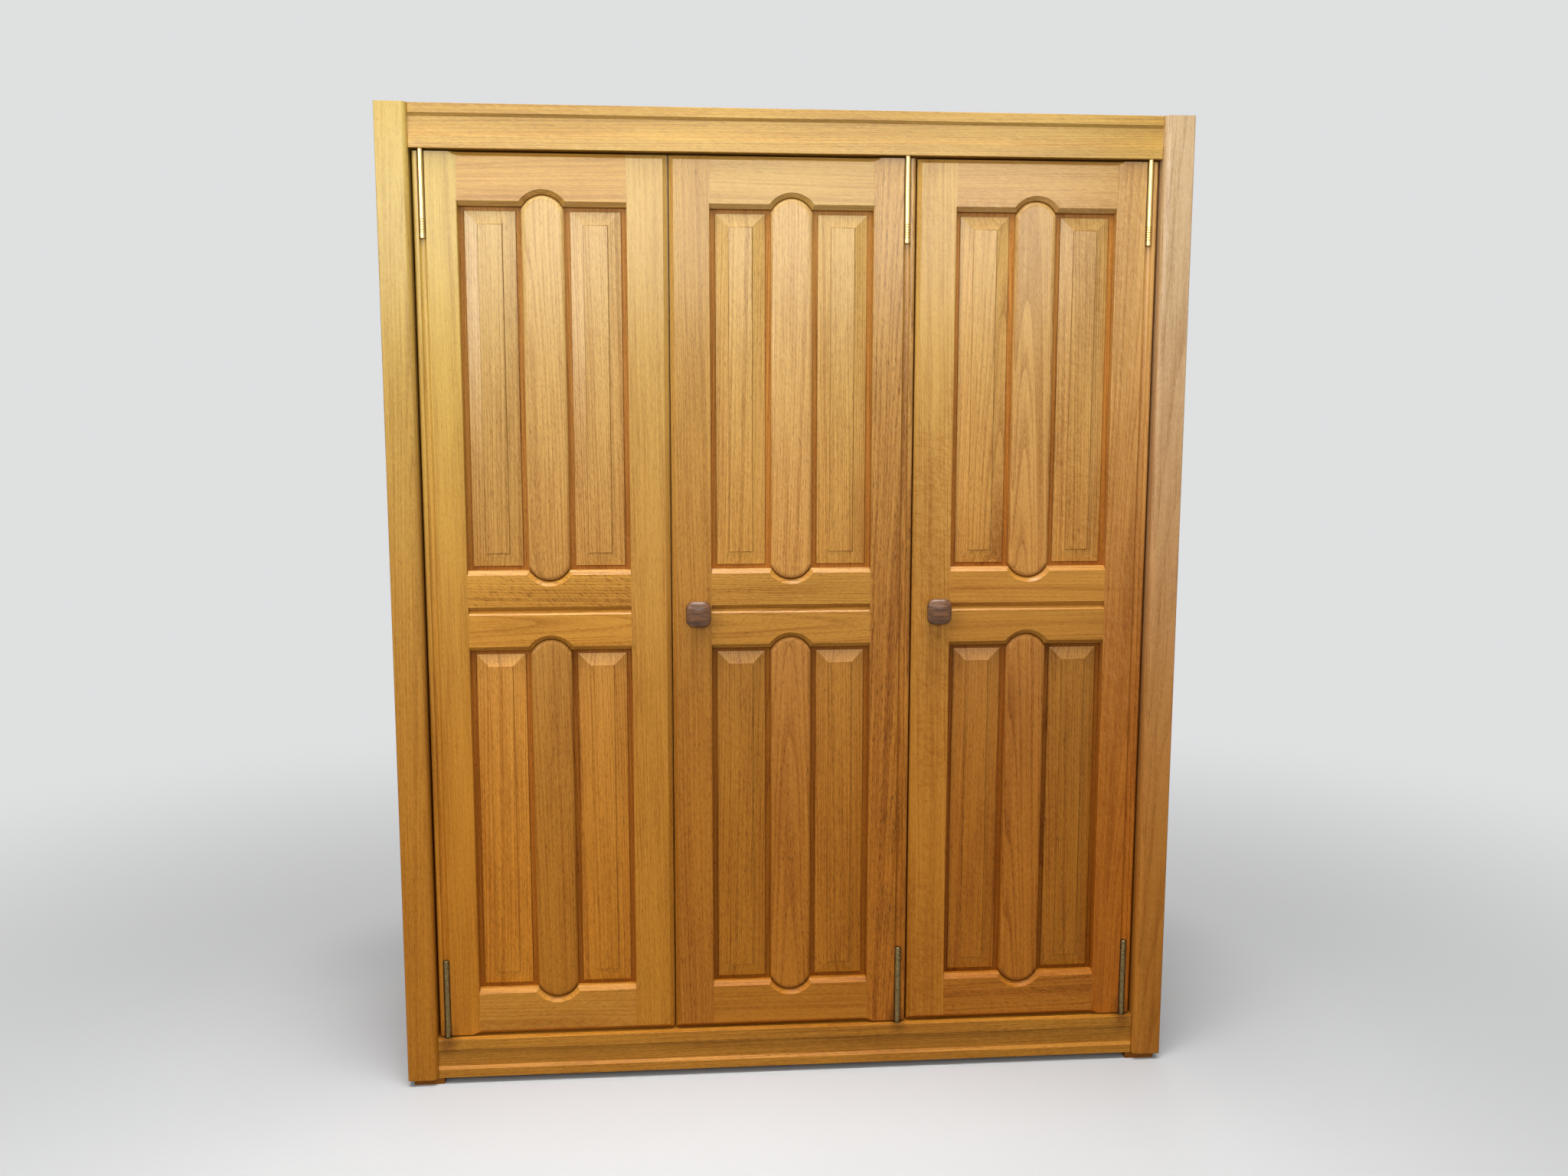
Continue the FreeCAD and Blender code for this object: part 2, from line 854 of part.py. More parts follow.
def edge_chamfer_tools(door):
    # The chamfer along the top and bottom front edges, running out in a curve on the hinge stile.
    start = hinge_stile_width + edge_lead
    height = edge_chamfer / math.sqrt(2)
    radius = (edge_runout ** 2 + height ** 2) / (2 * height)
    tools = []
    for edge, way in ((door_top, 1), (door_bottom, -1)):
        section = [
            (-cut_overrun, edge - way * (edge_chamfer + cut_overrun)),
            (edge_chamfer + cut_overrun, edge + way * cut_overrun),
            (-cut_overrun, edge + way * cut_overrun),
        ]
        tools.append(door.crossbar(section, start, door_width + meeting_tongue))
        slope = vector(0, 1, way) / math.sqrt(2)
        outward = vector(0, -1, way) / math.sqrt(2)
        middle = door.point(start, edge_chamfer / 2, edge - way * edge_chamfer / 2) + outward * radius
        tools.append(rod(radius, middle - slope * radius, middle + slope * radius))
    return tools


def hinge_stile(door):
    plan = [
        (0, 0, hinge_edge_radius),
        (hinge_stile_width, 0),
        (hinge_stile_width, door_thickness),
        (0, door_thickness, back_arris),
    ]
    stile = door.upright(plan, door_bottom, door_top)
    groove = rod(rod_radius + rod_fit + rod_groove_slack,
                 door.point(rod_inset, -rod_groove_slack, door_bottom),
                 door.point(rod_inset, -rod_groove_slack, door_top))
    holes = pivot_screw_shapes(door, screw_fit)
    return cut(stile, stile_cuts(door, True) + edge_chamfer_tools(door) + [groove] + holes)


def free_stile(door):
    edge = door_width
    plan = [(free_stile_u, 0), (edge - edge_chamfer, 0), (edge, edge_chamfer)]
    if door.has_tongue:
        plan.append((edge, meeting_tongue_depth))
        plan.append((edge + meeting_tongue, meeting_tongue_depth))
        plan.append((edge + meeting_tongue, door_thickness))
    else:
        plan.append((edge, door_thickness, back_arris))
    plan.append((free_stile_u, door_thickness))
    stile = door.upright(plan, door_bottom, door_top)
    return cut(stile, stile_cuts(door, False) + edge_chamfer_tools(door) + drillings(door))


def drillings(door):
    # The holes for the strike's pin and the knob's spigot, through the stile and the tenons in it.
    pin_end = door_thickness - strike_pin_length - screw_fit
    holes = [rod(strike_pin_diameter / 2 + screw_fit, door.point(strike_u, door_thickness, strike_z),
                 door.point(strike_u, pin_end, strike_z))]
    if door.has_knob:
        holes.append(rod(knob_spigot_diameter / 2 + joint_fit, door.point(knob_u, 0, knob_z),
                         door.point(knob_u, knob_spigot_length + tenon_end_gap, knob_z)))
    return holes


def arch_pocket(door, rail):
    # The recess for a pilaster's round end, with the rail's chamfer carried round it.
    centre_z = rail[1] + toward_panel(rail) * arch_centre_drop
    centre = door.point(opening_middle_u, -cut_overrun, centre_z)
    back = vector(0, 1, 0)
    inner = arch_radius - rail_chamfer
    cone = Part.makeCone(arch_radius + cut_overrun, inner, rail_chamfer + cut_overrun, centre, back)
    well = Part.makeCylinder(inner, panel_recess + cut_overrun, centre, back)
    return cone.fuse(well)


def door_rail(door, rail, outer_chamfer):
    way = toward_panel(rail)
    sight = sight_edge(rail)
    section = [
        (0, rail[0]),
        (door_thickness, rail[0]),
        (door_thickness, sight),
        (rail_chamfer, sight),
        (0, rail[1]),
    ]
    if outer_chamfer:
        section[0] = (0, rail[0] + way * meeting_chamfer)
        section.insert(1, (meeting_chamfer, rail[0]))
    body = door.crossbar(section, hinge_stile_width, free_stile_u)
    body = fuse([body] + [rail_tenon(door, rail, at_hinge, 0, 0) for at_hinge in (True, False)])
    groove_back = panel_recess + panel_tongue + groove_fit
    groove = door.block(hinge_stile_width, free_stile_u, panel_recess, groove_back, sight,
                        sight - way * groove_depth)
    return cut(body, [groove, arch_pocket(door, rail)] + edge_chamfer_tools(door) + drillings(door))


def middle_rails(door):
    return Part.makeCompound([door_rail(door, rail, True) for rail in (upper_middle_rail, lower_middle_rail)])


def door_panels(door):
    panels = []
    reach = (pilaster_width + panel_width) / 2
    for low, high in door_openings():
        for offset in (-reach, reach):
            panel = fielded_panel(panel_width, high - low)
            panel.translate(door.point(opening_middle_u + offset, 0, (low + high) / 2))
            panels.append(panel)
    return Part.makeCompound(panels)


def pilaster_outline(door, inset, d, low_centre, high_centre):
    radius = arch_radius - rail_chamfer - pilaster_gap - inset
    half = pilaster_width / 2 - inset
    shoulder = math.sqrt(radius ** 2 - half ** 2)
    middle = opening_middle_u
    low_left, low_right = (door.point(middle + s * half, d, low_centre - shoulder) for s in (-1, 1))
    high_left, high_right = (door.point(middle + s * half, d, high_centre + shoulder) for s in (-1, 1))
    edges = [
        Part.Arc(low_left, door.point(middle, d, low_centre - radius), low_right).toShape(),
        Part.LineSegment(low_right, high_right).toShape(),
        Part.Arc(high_right, door.point(middle, d, high_centre + radius), high_left).toShape(),
        Part.LineSegment(high_left, low_left).toShape(),
    ]
    return Part.Wire(edges)


def pilasters(door):
    pieces = []
    rim_d = pilaster_sink + pilaster_rim_drop
    half = pilaster_width / 2
    core = half - groove_depth
    tongue = groove_depth - panel_play
    middle = opening_middle_u
    groove_back = panel_recess + panel_tongue + groove_fit
    for low_rail, high_rail in ((upper_middle_rail, top_rail), (bottom_rail, lower_middle_rail)):
        low_centre = low_rail[1] + arch_centre_drop
        high_centre = high_rail[1] - arch_centre_drop
        low, high = sight_edge(low_rail), sight_edge(high_rail)
        rims = []
        for step in range(pilaster_rim_steps + 1):
            turn = math.radians(90 * step / pilaster_rim_steps)
            inset = pilaster_rim * (1 - math.cos(turn))
            rims.append(pilaster_outline(door, inset, rim_d - pilaster_rim_drop * math.sin(turn), low_centre,
                                         high_centre))
        plate = Part.Face(rims[0]).extrude(vector(0, panel_recess - rim_d, 0))
        crown = Part.makeLoft(rims, True, True)
        body = door.block(middle - half, middle + half, panel_recess, door_thickness, low, high)
        grooves = []
        for edge in (-1, 1):
            grooves.append(door.block(middle + edge * core, middle + edge * half, panel_recess, groove_back,
                                      low, high))
        stub = door.block(middle - core, middle + core, panel_recess, panel_recess + panel_tongue,
                          low - tongue, high + tongue)
        pieces.append(fuse([plate, crown, cut(body, grooves), stub]))
    return Part.makeCompound(pieces)


# Pivot rods: half sunk in the hinge stile's groove, turning in bushes in the front rails

bush_radius = rod_radius + rod_fit + bush_wall
bush_depth = rail_strip - bush_end_wall
rod_entry = bush_depth - bush_floor - rod_end_clearance
rod_ends = ((door_top, 1), (door_bottom, -1))


def bush_seat(door, rail_edge, way):
    mouth = door.point(rod_inset, 0, rail_edge)
    return rod(bush_radius + joint_fit, mouth, mouth + vector(0, 0, way * bush_depth))


def pivot_bushes():
    bushes = []
    for door in doors:
        for edge, way in ((top_z - rail_height, 1), (base_z + rail_height, -1)):
            mouth = door.point(rod_inset, 0, edge)
            end = mouth + vector(0, 0, way * bush_depth)
            floor = mouth + vector(0, 0, way * (bush_depth - bush_floor))
            bushes.append(rod(bush_radius, mouth, end).cut(rod(rod_radius + rod_fit, mouth, floor)))
    return Part.makeCompound(bushes)


def pivot_screw_shapes(door, fit):
    shapes = []
    depth = door_thickness - rod_radius + pivot_screw_bite
    for edge, way in rod_ends:
        for distance in (pivot_screw_near, pivot_screw_far):
            head = door.point(rod_inset, door_thickness, edge - way * distance)
            shapes.append(screw(head, (0, -1, 0), depth, pivot_screw_diameter, pivot_screw_head, fit))
    return shapes


def pivot_screws(door):
    return Part.makeCompound(pivot_screw_shapes(door, 0.0))


def pivot_rods(door):
    rods = []
    holes = pivot_screw_shapes(door, screw_fit)
    length = rod_length + rail_gap + rod_entry
    for edge, way in rod_ends:
        profile = [(0, 0), (rod_radius - rod_end_chamfer, 0), (rod_radius, rod_end_chamfer)]
        for index in range(ring_count):
            middle = ring_start + index * ring_pitch
            profile.append((rod_radius, middle - ring_width / 2))
            profile.append((rod_radius - ring_depth, middle))
            profile.append((rod_radius, middle + ring_width / 2))
        profile.append((rod_radius, length - rod_end_chamfer))
        profile.append((rod_radius - rod_end_chamfer, length))
        profile.append((0, length))
        tip = door.point(rod_inset, 0, edge - way * rod_length)
        wire = outline(profile, lambda p: tip + vector(p.x, 0, way * p.y))
        solid = Part.Face(wire).revolve(tip, vector(0, 0, 1), 360)
        rods.append(cut(solid, holes))
    return Part.makeCompound(rods)


# Square cushion knobs with a waisted neck and a round spigot in the free stile

dome_rise = math.sin(math.radians(dome_turn))


def smooth_loft(sections):
    return Part.makeLoft(sections, True, False, False, 3)


def knob_section(door, height, width, corner):
    x, z = width / 2, (width + knob_height - knob_width) / 2
    corners = [(-x, -z, corner), (x, -z, corner), (x, z, corner), (-x, z, corner)]
    return outline(corners, lambda p: door.point(knob_u + p.x, -height, knob_z + p.y))


def knob(door):
    neck = [
        knob_section(door, 0, knob_base_width, knob_base_corner),
        knob_section(door, knob_neck_height, knob_neck_width, knob_base_corner),
        knob_section(door, knob_flare_height, knob_flare_width, knob_base_corner),
        knob_section(door, knob_shoulder, knob_width, knob_corner),
    ]
    dome = []
    for step in range(dome_steps + 1):
        turn = step * dome_turn / dome_steps
        width = knob_width * math.cos(math.radians(turn))
        height = knob_shoulder + (knob_projection - knob_shoulder) * math.sin(math.radians(turn)) / dome_rise
        dome.append(knob_section(door, height, width, knob_corner * width / knob_width))
    spigot = rod(knob_spigot_diameter / 2, door.point(knob_u, 0, knob_z),
                 door.point(knob_u, knob_spigot_length, knob_z))
    return fuse([smooth_loft(neck), smooth_loft(dome), spigot])


# Magnetic catches on the back of the top rail, and the strikes on the doors

def catch_places():
    return [door.point(strike_u, 0, 0).x for door in doors]


def door_catches():
    catches = []
    rail_edge = top_z - rail_height
    for x in catch_places():
        half = catch_width / 2
        body = block(x - half, x + half, rail_back_y, rail_back_y + catch_thickness, rail_edge - catch_hang,
                     rail_edge + catch_grip)
        face = door_back_y + strike_thickness + catch_gap
        magnet = rod(magnet_diameter / 2, vector(x, face, strike_z),
                     vector(x, rail_back_y + stud_lap, strike_z))
        catches.append(cut(fuse([body, magnet]), screw_holes()))
    return Part.makeCompound(catches)


def strike(door):
    face = door.point(strike_u, door_thickness, strike_z)
    disc = rod(strike_diameter / 2, face, face + vector(0, strike_thickness, 0))
    pin = rod(strike_pin_diameter / 2, face, face - vector(0, strike_pin_length, 0))
    return fuse([disc, pin])


def carcass_nodes():
    nodes = {}
    for name, side in (("left", -1), ("right", 1)):
        nodes[name + "_front_post"] = front_post(side)
        nodes[name + "_rear_post"] = rear_post(side)
        nodes[name + "_side_rails"] = side_rails(side)
        nodes[name + "_side_panels"] = side_panels(side)
    makers = (
        top_front_rail, bottom_front_rail, rear_rails, rear_muntins, back_panels, top_board, bottom_board,
        partition, hat_shelf, linen_shelves, shelf_cleats, hanging_rail, rail_sockets, feet, pivot_bushes,
        door_catches, wood_screws,
    )
    for maker in makers:
        nodes[maker.__name__] = maker()
    return nodes


def door_nodes(door):
    nodes = {
        "hinge_stile": hinge_stile(door),
        "free_stile": free_stile(door),
        "top_rail": door_rail(door, top_rail, False),
        "middle_rails": middle_rails(door),
        "bottom_rail": door_rail(door, bottom_rail, False),
        "panels": door_panels(door),
        "pilasters": pilasters(door),
        "pivot_rods": pivot_rods(door),
        "pivot_screws": pivot_screws(door),
        "strike": strike(door),
    }
    if door.has_knob:
        nodes["knob"] = knob(door)
    return {door.name + "_door_" + name: shape for name, shape in nodes.items()}


all_nodes = carcass_nodes()
for each_door in doors:
    all_nodes.update(door_nodes(each_door))

os.makedirs("parts", exist_ok=True)
for node_name, node_shape in all_nodes.items():
    node_shape.exportStep("parts/" + node_name + ".step")
print(len(all_nodes), "nodes")
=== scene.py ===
import bpy
import bmesh
import math
import random
from mathutils import Matrix, Vector


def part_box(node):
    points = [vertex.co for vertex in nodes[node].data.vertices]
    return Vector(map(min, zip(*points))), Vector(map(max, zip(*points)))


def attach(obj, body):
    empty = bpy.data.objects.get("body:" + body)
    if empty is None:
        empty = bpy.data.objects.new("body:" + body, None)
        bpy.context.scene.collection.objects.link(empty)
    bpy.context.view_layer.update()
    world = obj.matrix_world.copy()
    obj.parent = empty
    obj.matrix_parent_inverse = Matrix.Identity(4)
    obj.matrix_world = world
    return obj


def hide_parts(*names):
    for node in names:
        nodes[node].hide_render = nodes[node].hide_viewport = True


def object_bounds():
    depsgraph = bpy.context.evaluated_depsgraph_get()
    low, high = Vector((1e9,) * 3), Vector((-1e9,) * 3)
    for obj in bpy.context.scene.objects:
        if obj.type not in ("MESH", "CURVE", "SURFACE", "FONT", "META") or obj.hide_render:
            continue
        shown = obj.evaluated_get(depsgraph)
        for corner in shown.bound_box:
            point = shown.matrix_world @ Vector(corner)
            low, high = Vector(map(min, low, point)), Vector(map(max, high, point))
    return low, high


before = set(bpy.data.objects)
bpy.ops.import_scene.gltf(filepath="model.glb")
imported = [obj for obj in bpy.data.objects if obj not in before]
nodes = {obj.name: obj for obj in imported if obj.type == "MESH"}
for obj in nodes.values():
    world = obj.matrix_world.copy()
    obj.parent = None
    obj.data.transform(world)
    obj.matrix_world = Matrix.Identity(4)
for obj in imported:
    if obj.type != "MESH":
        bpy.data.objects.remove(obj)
cadLow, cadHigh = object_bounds()
scene = bpy.context.scene


# A node socket that takes part in Python expressions
class Wire:
    def __init__(self, tree, socket=None):
        self.tree = tree
        self.socket = socket

    def node(self, kind, settings=None, sockets=None, output=0):
        made = self.tree.nodes.new(kind)
        for key, setting in (settings or {}).items():
            setattr(made, key, setting)
        for key, value in (sockets or {}).items():
            if isinstance(value, Wire):
                self.tree.links.new(value.socket, made.inputs[key])
            elif isinstance(value, list):
                for wire in value:
                    self.tree.links.new(wire.socket, made.inputs[key])
            else:
                made.inputs[key].default_value = value
        return Wire(self.tree, made.outputs[output] if made.outputs else None)

    def math(self, operation, *others):
        return self.node("ShaderNodeMath", {"operation": operation}, dict(enumerate((self,) + others)))

    def __add__(self, other):
        return self.math("ADD", other)

    def __sub__(self, other):
        return self.math("SUBTRACT", other)

    def __mul__(self, other):
        return self.math("MULTIPLY", other)

    def __truediv__(self, other):
        return self.math("DIVIDE", other)

    def __rsub__(self, other):
        return self.node("ShaderNodeMath", {"operation": "SUBTRACT"}, {0: other, 1: self})

    def __gt__(self, other):
        return self.math("GREATER_THAN", other)

    __radd__ = __add__
    __rmul__ = __mul__

    def rise(self, low, high):  # 0 before low, 1 past high, smooth between them
        settings = {"interpolation_type": "SMOOTHSTEP"}
        return self.node("ShaderNodeMapRange", settings, {"Value": self, "From Min": low, "From Max": high})

    def noise(self, scale, detail=2.0, roughness=0.5):
        sockets = {"Vector": self, "Scale": scale, "Detail": detail, "Roughness": roughness}
        return self.node("ShaderNodeTexNoise", None, sockets)

    def parts(self):
        split = self.node("ShaderNodeSeparateXYZ", None, {0: self})
        return [Wire(self.tree, out) for out in split.socket.node.outputs]


def joined(x, y, z):
    tree = next(part.tree for part in (x, y, z) if isinstance(part, Wire))
    return Wire(tree).node("ShaderNodeCombineXYZ", None, {0: x, 1: y, 2: z})


def blended(factor, first, second, way="MIX"):  # two colours, or a colour and a Wire
    first, second = [c if isinstance(c, Wire) else (*c, 1.0) for c in (first, second)]
    settings = {"data_type": "RGBA", "blend_type": way}
    tree = next(part.tree for part in (factor, first, second) if isinstance(part, Wire))
    return Wire(tree).node("ShaderNodeMix", settings, {0: factor, 6: first, 7: second}, 2)


def newMaterial(name):
    material = bpy.data.materials.new(name)
    material.use_nodes = True
    material.node_tree.nodes.clear()
    return material, Wire(material.node_tree)


def finishMaterial(start, sockets):
    shader = start.node("ShaderNodeBsdfPrincipled", None, sockets)
    start.node("ShaderNodeOutputMaterial", None, {"Surface": shader})


# Honey oak under a satin varnish
oak = {
    "pale": (0.585, 0.285, 0.044),
    "deep": (0.320, 0.112, 0.009),
    "pore": (0.115, 0.034, 0.003),
    "ray": (0.66, 0.36, 0.075),
    "flame": (0.80, 0.70, 0.52),  # shade of the wavy lines on a board cut along its rays
    "paintedLightTop": (1.11, 1.36, 2.10),  # painted light: paler and whiter higher up, standing in for the sheen and the brighter light at the top
    "fieldPaintedLightTop": (1.07, 1.42, 3.20),  # the same on panels and pilasters
    # painted shade: darker and more orange near the floor
    "paintedShadeFoot": (0.81, 0.62, 0.36),
    "paintedLightSpan": (0.1, 1.9),  # heights between which the painted light and shade change
    "paintedLightCurve": 0.65,
    "luckTone": (0.98, 1.02),  # how far the boards differ by chance
    "luckShade": (0.90, 1.08),
    "luckGreen": (0.97, 1.02),
    "roughness": 0.42,
    "poreRoughness": 0.2,
    "blotchRoughness": 0.15,
    "specular": 0.08,
    "coat": 0.72,
    "coatWorn": 0.15,  # share of the coat left near the floor
    "coatRoughness": 0.21,
    "arris": 0.0005,  # how softly the edges are rubbed round
    "fieldArris": 0.0014,  # the same on panels
    "bump": 0.30,
    "bumpDepth": 0.0005,
    "fibreRelief": 0.3,
}

# Growth rings, how the grain strays from straight and how deep each figure colours the wood
grain = {
    "ringPitch": 0.0046, "ringUneven": 2.2, "ringChange": 0.4, "earlyWood": (0.0, 0.6),
    "heartDepth": 0.034, "taper": 0.017, "wander": 0.011, "drift": 0.03, "wave": 0.004, "fibreLean": 0.35,
    "streak": 0.75, "blotch": 1.0, "ground": 0.14,
    "alongLuck": 7.3, "acrossLuck": 3.1, "throughLuck": 5,  # how far apart in the log boards may be cut
    "luckStep": 1.37, "luckStart": (1, 9),
}

# Noise drawn out along the grain: its scale across and along the board, detail and roughness
figures = {
    "drift": (5, 3.5, 1.0, 0.5),
    "wander": (6, 1.6, 2.0, 0.5),
    "wave": (9, 24, 1.0, 0.5),
    "fibre": (420, 8, 5.0, 0.68),
    "streak": (130, 2.4, 2.0, 0.5),
    "blotch": (13, 2.2, 2.0, 0.5),
    "fine": (1350, 150, 1.0, 0.5),
    "short": (880, 100, 1.0, 0.5),
    "coarse": (640, 58, 1.0, 0.5),
}

# Pores: the noise at which each size shows, its darkness by the board's share of pores and on every board
poreSizes = {
    "coarse": {"shows": (0.62, 0.76), "share": 0.70, "always": 0.0, "crowding": 1},
    "short": {"shows": (0.46, 0.74), "share": 0.40, "always": 0.10, "crowding": 1},
    "fine": {"shows": (0.48, 0.74), "share": 0.0, "always": 0.20, "crowding": 0},
}
poreCrowd = {"early": 0.07, "blotch": 0.14, "atFoot": 1.15, "fainterAloft": 0.40}  # and where there are more

# Figure that runs aslant over the grain: pale flecks, and the wavy lines of a flamed board
rays = {"across": 270, "slant": 92, "through": 60, "along": 40, "detail": 1.0, "shows": (0.54, 0.68)}
flames = {"across": 34, "slant": 30, "through": 20, "along": 62, "detail": 2.0, "width": 0.075,
          "patch": (0.40, 0.60)}

# Painted shade and light on the panelling, with some stain in its recesses, by depth behind the face of the
# door
panelling = {
    "stainAndShadeTop": (0.86, 0.60, 0.34),  # what the painted shade and stain in the margins let through, high up
    "stainAndShadeFoot": (0.64, 0.52, 0.44),  # and near the floor
    "stainAndShadeShare": 0.90,
    "stainAndShadeDepth": (0.0172, 0.0188),
    "backDepth": (0.022, 0.026),
    "line": (0.45, 0.32, 0.16),  # painted shade: thin dark lines along the edges of a panel's steps
    "lineShare": 0.80,
    "lineWidth": (0.0003, 0.0013),
    "lineDepth": (0.021, 0.022),
    "litLine": 0.55,  # share of the painted shade line on the left edges of a field, which face the light
    "raisedLine": 0.6,
    "footLine": 0.3,
    "bevel": (1.30, 1.38, 1.40),  # painted light: the sloped ends of a panel are lightened, though not high up
    "bevelSlope": (0.08, 0.16),
    "edgeSlope": (0.5, 0.6),
    "bevelFade": (0.55, 0.75),
    "stepReach": 0.0002,  # vertices this near in depth are on one step
}

# Dark smudges: how they are drawn out upwards, how ragged they are, their core and their hold in the pores
smudge = {"upwards": 0.6, "ragged": 0.9, "core": 0.15, "inPores": 0.9}

# How a board is cut and what shows on it: share of dark pores, ray flecks and growth rings,
# lean of the grain, and how far the heart of the log lies from the middle of the face. A pair of
# values is for the lower and the upper board of a node; grime is a list of places, reaches and shares
plainBoard = {
    "tint": (1, 1, 1), "pores": 0.45, "fibre": 1.45, "rays": 0.12, "rings": 0.30, "flame": 0.0, "lean": 0.0,
    "heart": 0.16, "splits": (), "shades": None, "grime": (), "face": None, "steps": None,
    "coat": oak["coat"], "paintedLightTop": oak["paintedLightTop"], "arris": oak["arris"],
}


def boardLuck(start, spot, splits, draw):  # three chances, the same all over one board of a node
    if not splits:
        return [draw.random() for _ in range(3)]
    number = sum(2 ** k * (spot[axis] > limit) for k, (axis, limit) in enumerate(splits))
    luck = {"W": number * grain["luckStep"] + draw.uniform(*grain["luckStart"])}
    return start.node("ShaderNodeTexWhiteNoise", {"noise_dimensions": "1D"}, luck, "Color").parts()


def boardShade(spot, look):  # shades of the boards, counted upwards and then to the right
    upper = spot["z"] > look["splits"][0][1]
    columns = [upper * (high - low) + low for low, high in zip(look["shades"][::2], look["shades"][1::2])]
    if len(columns) == 1:
        return columns[0]
    return (columns[1] - columns[0]) * (spot["x"] > look["splits"][1][1]) + columns[0]


def insetOf(rows, columns, across, up):  # how far a point is inside the nearest of four rectangles
    (xMiddle, near, far), (zMiddle, lowRow, highRow) = columns, rows
    side = (across - xMiddle).math("ABSOLUTE")
    upper = up > zMiddle
    low, high = (upper * (highRow[k] - lowRow[k]) + lowRow[k] for k in (0, 1))
    upright = (up - low).math("MINIMUM", high - up)
    return (side - near).math("MINIMUM", far - side).math("MINIMUM", upright)


def stepShadeLine(step, spot):  # a thin line of painted shade along the edges of a step
    inset = insetOf(*step, spot["x"], spot["z"])
    return 1 - inset.math("ABSOLUTE").rise(*panelling["lineWidth"])


def rightHalf(columns, across):  # 1 on the right half of each panel of a pair
    middle, near, far = columns
    offset = across - middle
    return offset - offset.math("SIGN") * ((near + far) / 2) > 0.0


def figure(across, through, along, kind):  # noise drawn out along the grain
    wide, long, detail, roughness = figures[kind]
    return joined(across * wide, through * wide, along * long).noise(1.0, detail, roughness)


def slantFigure(across, through, along, form):  # noise that runs aslant over it
    slanted = across * form["across"] + along * form["slant"]
    return joined(slanted, through * form["through"], along * form["along"]).noise(1.0, form["detail"])


def earlyWood(start, aside, under, along, wander):  # fades out over each growth ring
    radius = (aside * aside + under * under).math("SQRT")
    rings = (radius + along * grain["taper"] + wander * grain["wander"]) / grain["ringPitch"]
    uneven = {"W": rings, "Scale": grain["ringChange"], "Detail": 1.0}
    uneven = start.node("ShaderNodeTexNoise", {"noise_dimensions": "1D"}, uneven)
    rings = rings + uneven * grain["ringUneven"]
    return 1 - rings.math("FRACT").rise(*grain["earlyWood"])


def poreDashes(place, pores, early, blotch, aloft):
    crowd = early * poreCrowd["early"] + (blotch - 0.5) * poreCrowd["blotch"]
    dash = 0.0
    for kind, size in poreSizes.items():
        noise = figure(*place, kind) + crowd * size["crowding"]
        dash = dash + noise.rise(*size["shows"]) * (pores * size["share"] + size["always"])
    return dash * (poreCrowd["atFoot"] - aloft * poreCrowd["fainterAloft"])  # the pores show fainter higher up


def panellingLightAndShade(start, spot, aloft, look, colour, lasting):
    sunk = spot["y"] - look["face"]
    # painted shade of the recess, with some stain: the margins behind the face of the door are darkened
    shadedMargin = sunk.rise(*panelling["stainAndShadeDepth"]) * (1 - sunk.rise(*panelling["backDepth"]))
    shadedMargin = shadedMargin * panelling["stainAndShadeShare"]
    stainAndShade = blended(aloft, panelling["stainAndShadeFoot"], panelling["stainAndShadeTop"])
    colour = blended(shadedMargin, colour, stainAndShade, "MULTIPLY")
    lasting = lasting * (1 - shadedMargin)
    if look["steps"] is None:
        return colour, lasting

    # painted shade: dark lines along the steps, weaker on the left edges, which face the light, and near the
    # floor
    field, raised = (stepShadeLine(step, spot) for step in look["steps"])
    lit, foot = panelling["litLine"], panelling["footLine"]
    field = field * (rightHalf(look["steps"][0][1], spot["x"]) * (1 - lit) + lit)
    line = field.math("MAXIMUM", raised * panelling["raisedLine"]) * (1 - sunk.rise(*panelling["lineDepth"]))
    line = line * (aloft * (1 - foot) + foot) * panelling["lineShare"]
    colour = blended(line, colour, panelling["line"], "MULTIPLY")
    # painted light on the sloped ends of a panel, chosen by the slope of the face
    facing = start.node("ShaderNodeNewGeometry", None, None, "True Normal").parts()[2].math("ABSOLUTE")
    slopeLight = facing.rise(*panelling["bevelSlope"]) * (1 - facing.rise(*panelling["edgeSlope"]))
    slopeLight = slopeLight * (1 - aloft.rise(*panelling["bevelFade"]))
    return blended(slopeLight, colour, panelling["bevel"], "MULTIPLY"), lasting * (1 - line)


def smudged(start, spot, mark, dash, blotch, colour):
    x, y, z, reach, share = mark
    offset = joined(spot["x"] - x, spot["y"] - y, (spot["z"] - z) * smudge["upwards"])
    away = start.node("ShaderNodeVectorMath", {"operation": "LENGTH"}, {0: offset}, "Value")
    away = away + (blotch - 0.5) * reach * smudge["ragged"]
    dirt = (1 - away.rise(reach * smudge["core"], reach)) * (dash * smudge["inPores"] + share)
    return blended(dirt, colour, oak["pore"])


def spread(limits, chance):
    return limits[0] + chance * (limits[1] - limits[0])


